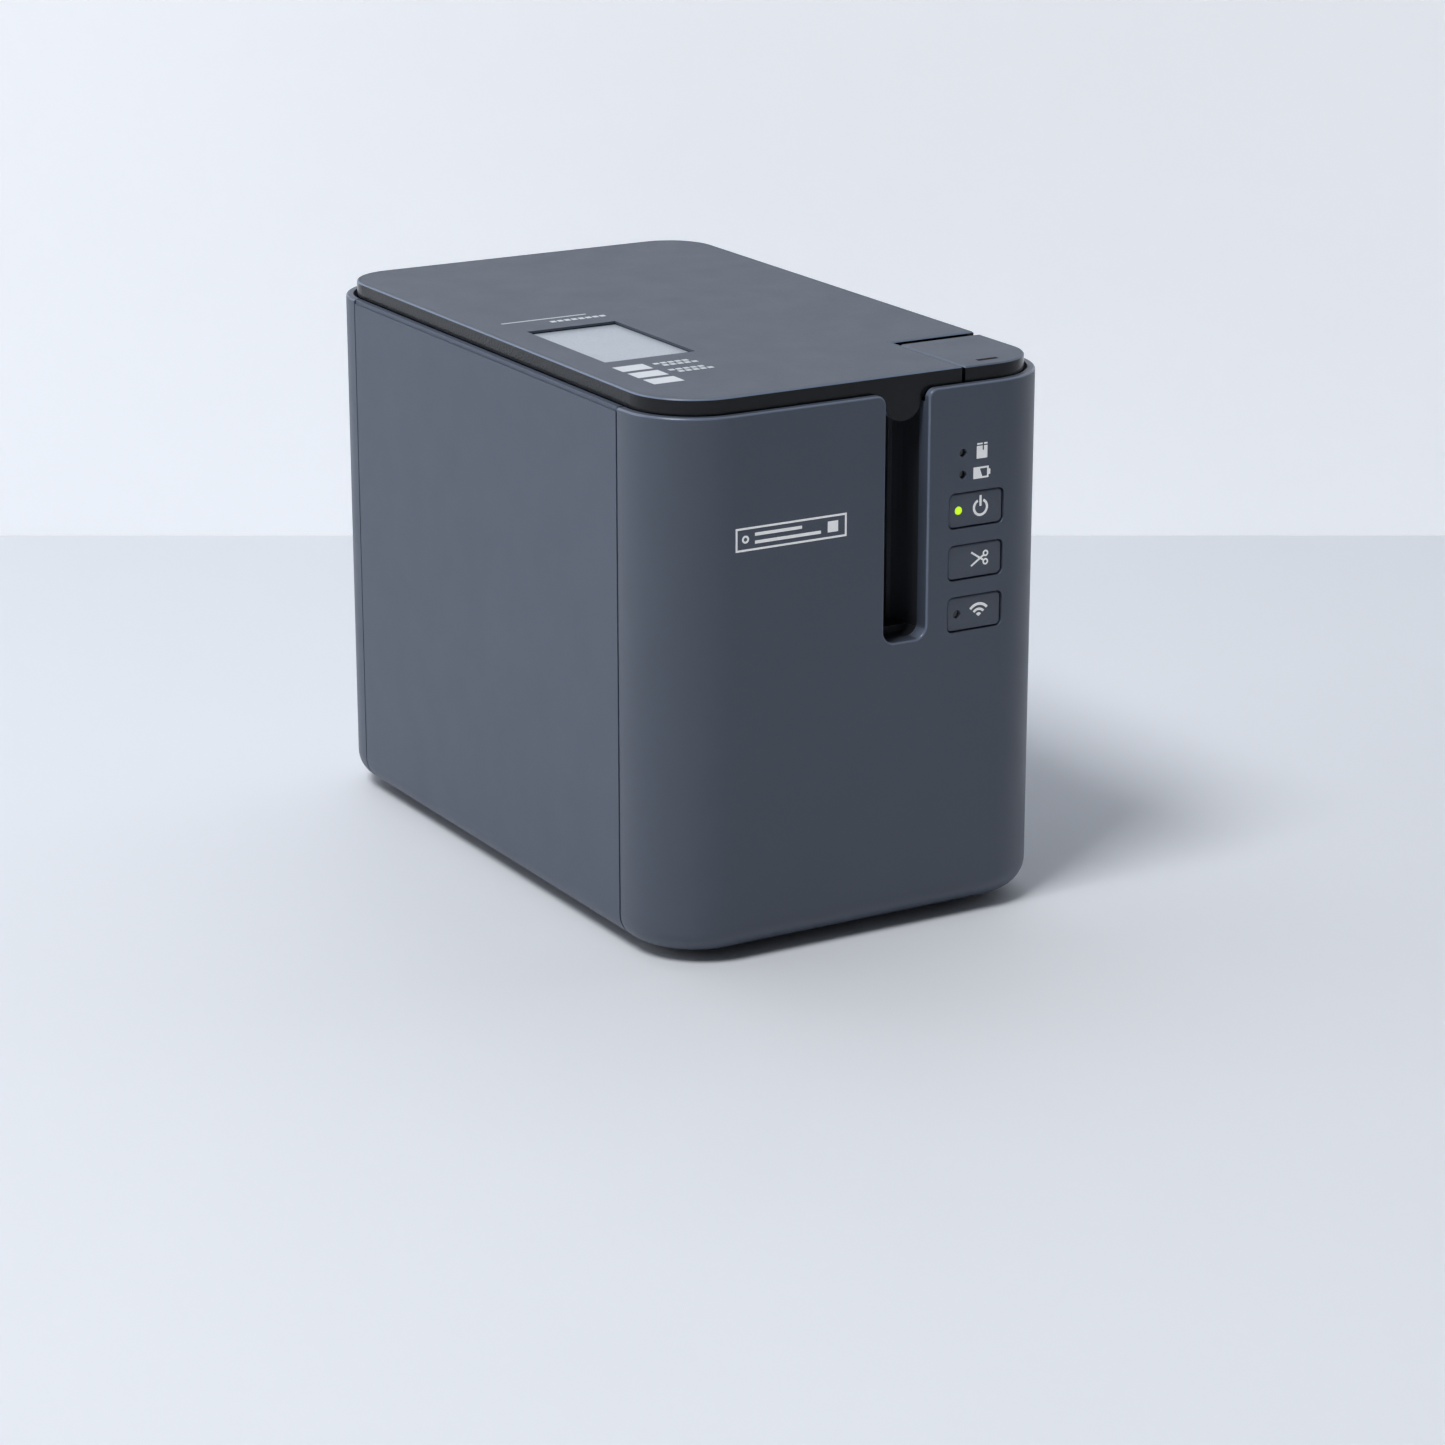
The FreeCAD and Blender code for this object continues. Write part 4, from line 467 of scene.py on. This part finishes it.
def wireless_mark():
    """A small fan with two wider arcs above it."""
    radii = ((0.0, 1.0), (1.6, 2.25), (2.95, 3.65))
    return [band(0, -1.75, inner, outer, 40, 140) for inner, outer in radii]


def cassette_mark():
    """A cassette with a slot in its upper half and a lid line above it."""
    body = [block(-1.6, -2.0, 0.15, 1.25), block(0.15, -2.0, 0.6, 0.1), block(0.6, -2.0, 1.6, 1.25)]
    return body + [block(-1.5, 1.6, 0.15, 2.0), block(0.6, 1.6, 1.6, 2.0)]


def battery_mark():
    """A battery on its side, partly full."""
    level = [(-2.1, -1.1), (0.2, -1.1), (-0.6, 1.1), (-2.1, 1.1)]
    return frame_lines(-2.5, -1.5, 2.1, 1.5, 0.45) + [block(2.1, -0.7, 2.6, 0.7), level]


def dots_mark():
    """Small raised dots that a finger can find."""
    return [disc(0.75 * number, 0, 0.16) for number in range(-2, 3)]


def tag_mark():
    """A plain label tag with lines on it, in place of a name."""
    outline = frame_lines(-16, -3, 16, 3, 0.5)
    lines = ring(-13.2, 0, 0.5, 1.0)
    lines += [block(-10.5, 0.6, 3.0, 1.4), block(-10.5, -1.4, 8.5, -0.6), block(10.5, -1.4, 13.5, 1.4)]
    return outline + lines


# Places of the marks on the front: from the middle of a button, from that mark to the dots, from the
# indicator lights, and of the tag on the face.
BUTTON_MARK = (1.45, 0.35)
DOTS_FROM_MARK = (-1.3, -3.3)
LAMP_MARK = 4.6
TAG_AT = (-22.45, 110.4)


def front_ink(name, outlines, at, body="casing"):
    printed(name, outlines, at, "front", body, PAINTED_GLOW_INK)


def print_front():
    """The symbols on the buttons and beside the lights, and a plain tag on the front."""
    keys = {"power_button": (power_mark, "power_body"), "cut_button": (scissors_mark, "cut_body"),
            "wireless_button": (wireless_mark, "wireless_body")}
    for node, (mark, body) in keys.items():
        near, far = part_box(node)
        x = (near.x + far.x) / 2 + BUTTON_MARK[0] * MM
        z = (near.z + far.z) / 2 + BUTTON_MARK[1] * MM
        front_ink(node + "_mark", mark(), (x, near.y, z), body)
        if node == "power_button":
            below = (x + DOTS_FROM_MARK[0] * MM, near.y, z + DOTS_FROM_MARK[1] * MM)
            slot = "button_plastic"
            printed("finger_dots", dots_mark(), below, "front", body, FINISHES[slot])
    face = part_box("front_cover")[0].y
    near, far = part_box("status_lamps")
    radius = (far.x - near.x) / 2
    x = far.x + LAMP_MARK * MM
    front_ink("cassette_mark", cassette_mark(), (x, face, far.z - radius))
    front_ink("battery_mark", battery_mark(), (x, face, near.z + radius))
    front_ink("tag_mark", tag_mark(), (TAG_AT[0] * MM, face, TAG_AT[1] * MM))


# Rows of marks in front of the window, the line behind it, and the tick on the release button.
LID_ROWS = 3
ROW_START = 10.5
ROW_PITCH = 7.9
ROW_BLOCK = (8.6, 5.7)
DASH_PITCH = 2.1
DASH_PART = 0.72
LINE_FROM_PANE = 4.6
TICK_HALF = (3.0, 0.7)
TICK_FROM_MIDDLE = -2.5
TICK_FROM_FRONT = 4.7


def dashes(start, end, low, tall):
    """A row of short bars, in place of small print."""
    bars = []
    for number in range(int((end - start) / DASH_PITCH)):
        near = start + DASH_PITCH * number
        bars.append(block(near, low, near + DASH_PITCH * DASH_PART, low + tall))
    return bars


def lid_ink(name, outlines, at):
    printed(name, outlines, at, "top", "lid_body", LID_INK)


def print_lid():
    """Plain bars round the window, where the tape sizes would be listed, and the release button's mark."""
    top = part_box("lid_panel")[1].z
    pane_low, pane_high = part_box("lid_window")
    left = pane_low.x
    for row in range(LID_ROWS):
        marks = [block(0, 0, *ROW_BLOCK)]
        if row < LID_ROWS - 1:
            marks += dashes(11.0, 23.2, 3.4, 1.5) + dashes(12.4, 23.4, 1.0, 1.5)
        lid_ink(f"lid_mark_{row}", marks, (left, pane_low.y - (ROW_START + row * ROW_PITCH) * MM, top))
    lines = [block(0, 5.2, 25.0, 5.9)] + dashes(12.4, 29.6, 0.6, 1.7)
    lid_ink("lid_line_mark", lines, (left, pane_high.y + LINE_FROM_PANE * MM, top))
    near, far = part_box("release_button")
    half_long, half_wide = TICK_HALF
    tick = [block(-half_long, -half_wide, half_long, half_wide)]
    spot = ((near.x + far.x) / 2 + TICK_FROM_MIDDLE * MM, near.y + TICK_FROM_FRONT * MM, far.z)
    printed("press_mark", tick, spot, "top", "release_body", TICK)


# ---------------------------------------------------------------- surroundings

TABLE = srgb(226, 230, 236)
WALL = srgb(238, 241, 246)
SKY = srgb(240, 243, 248)
SKY_STRENGTH = 0.08
WALL_GLOW = 0.27
# The camera's turn and tilt in radians, its place in metres, and its lens and film in millimetres.
YAW = 0.5295
PITCH = 0.307
CAMERA_AT = Vector((-0.53769, -0.94267, 0.37543))
LENS = 103.5
FILM = 36.0
# Metres from the object's middle to the wall, the wall's height, and half the width of wall and table,
# which is also how far the table comes forward from the wall.
WALL_AT = 0.315
WALL_HIGH = 2.5
HALF_WIDE = 4.0


def plain(name, colour, glow=0.0):
    """Matt paint, slightly uneven."""
    surface = Surface(name)
    surface.shade(tint(colour, 0.99), colour, surface.noise(120, 2))
    surface.link(surface.spread(surface.noise(60, 3), 0.55, 0.65), surface.shader, "Roughness")
    surface.shader.inputs["Specular IOR Level"].default_value = 0.2
    surface.shader.inputs["Emission Color"].default_value = colour
    surface.shader.inputs["Emission Strength"].default_value = glow
    return surface.material


def flat(name, corners, colour, glow=0.0):
    """One flat surface of the room."""
    mesh = bpy.data.meshes.new(name)
    mesh.from_pydata([tuple(corner) for corner in corners], [], [tuple(range(len(corners)))])
    mesh.materials.append(plain(name + "_paint", colour, glow))
    made = bpy.data.objects.new(name, mesh)
    bpy.context.scene.collection.objects.link(made)


def surroundings():
    """A pale table and a wall behind it, square to the camera."""
    forward = Vector((math.sin(YAW), math.cos(YAW), 0))
    aside = Vector((math.cos(YAW), -math.sin(YAW), 0)) * HALF_WIDE
    back = forward * WALL_AT
    front = back - forward * HALF_WIDE
    up = Vector((0, 0, WALL_HIGH))
    flat("table", [back - aside, front - aside, front + aside, back + aside], TABLE)
    flat("backdrop", [back - aside, back + aside, back + aside + up, back - aside + up], WALL, WALL_GLOW)


def area_light(name, at, aim, size, power):
    """A white panel light. Places and sizes are in metres, power in watts."""
    data = bpy.data.lights.new(name, "AREA")
    data.shape = "RECTANGLE"
    data.size, data.size_y = size
    data.energy = power
    made = bpy.data.objects.new(name, data)
    made.location = at
    made.rotation_euler = (Vector(aim) - Vector(at)).to_track_quat("-Z", "Y").to_euler()
    bpy.context.scene.collection.objects.link(made)


def lights():
    """A soft light from the left and behind, a smaller one from above, and a faint one in front."""
    area_light("key", at=(-2.1, 1.35, 0.9), aim=(0, 0, 0.05), size=(1.6, 1.2), power=13)
    area_light("overhead", at=(-1.05, -0.42, 1.95), aim=(0, 0, 0), size=(0.7, 0.7), power=32)
    area_light("front_fill", at=(0.3, -1.6, 0.25), aim=(0, 0, 0.04), size=(1.4, 0.4), power=0.3)
    world = bpy.data.worlds.new("room")
    world.use_nodes = True
    back = world.node_tree.nodes["Background"]
    back.inputs["Color"].default_value = SKY
    back.inputs["Strength"].default_value = SKY_STRENGTH
    bpy.context.scene.world = world


def camera():
    """A camera without roll, at the photograph's angle."""
    data = bpy.data.cameras.new("camera")
    data.lens = LENS
    data.sensor_width = FILM
    made = bpy.data.objects.new("camera", data)
    level = math.cos(PITCH)
    forward = Vector((math.sin(YAW) * level, math.cos(YAW) * level, -math.sin(PITCH)))
    right = Vector((math.cos(YAW), -math.sin(YAW), 0))
    up = right.cross(forward)
    turn = Matrix((right, up, -forward)).transposed()
    made.matrix_world = Matrix.Translation(CAMERA_AT) @ turn.to_4x4()
    bpy.context.scene.collection.objects.link(made)
    bpy.context.scene.camera = made


paint_nodes()
print_front()
print_lid()
surroundings()
lights()
camera()
bpy.context.scene.view_settings.view_transform = "Standard"
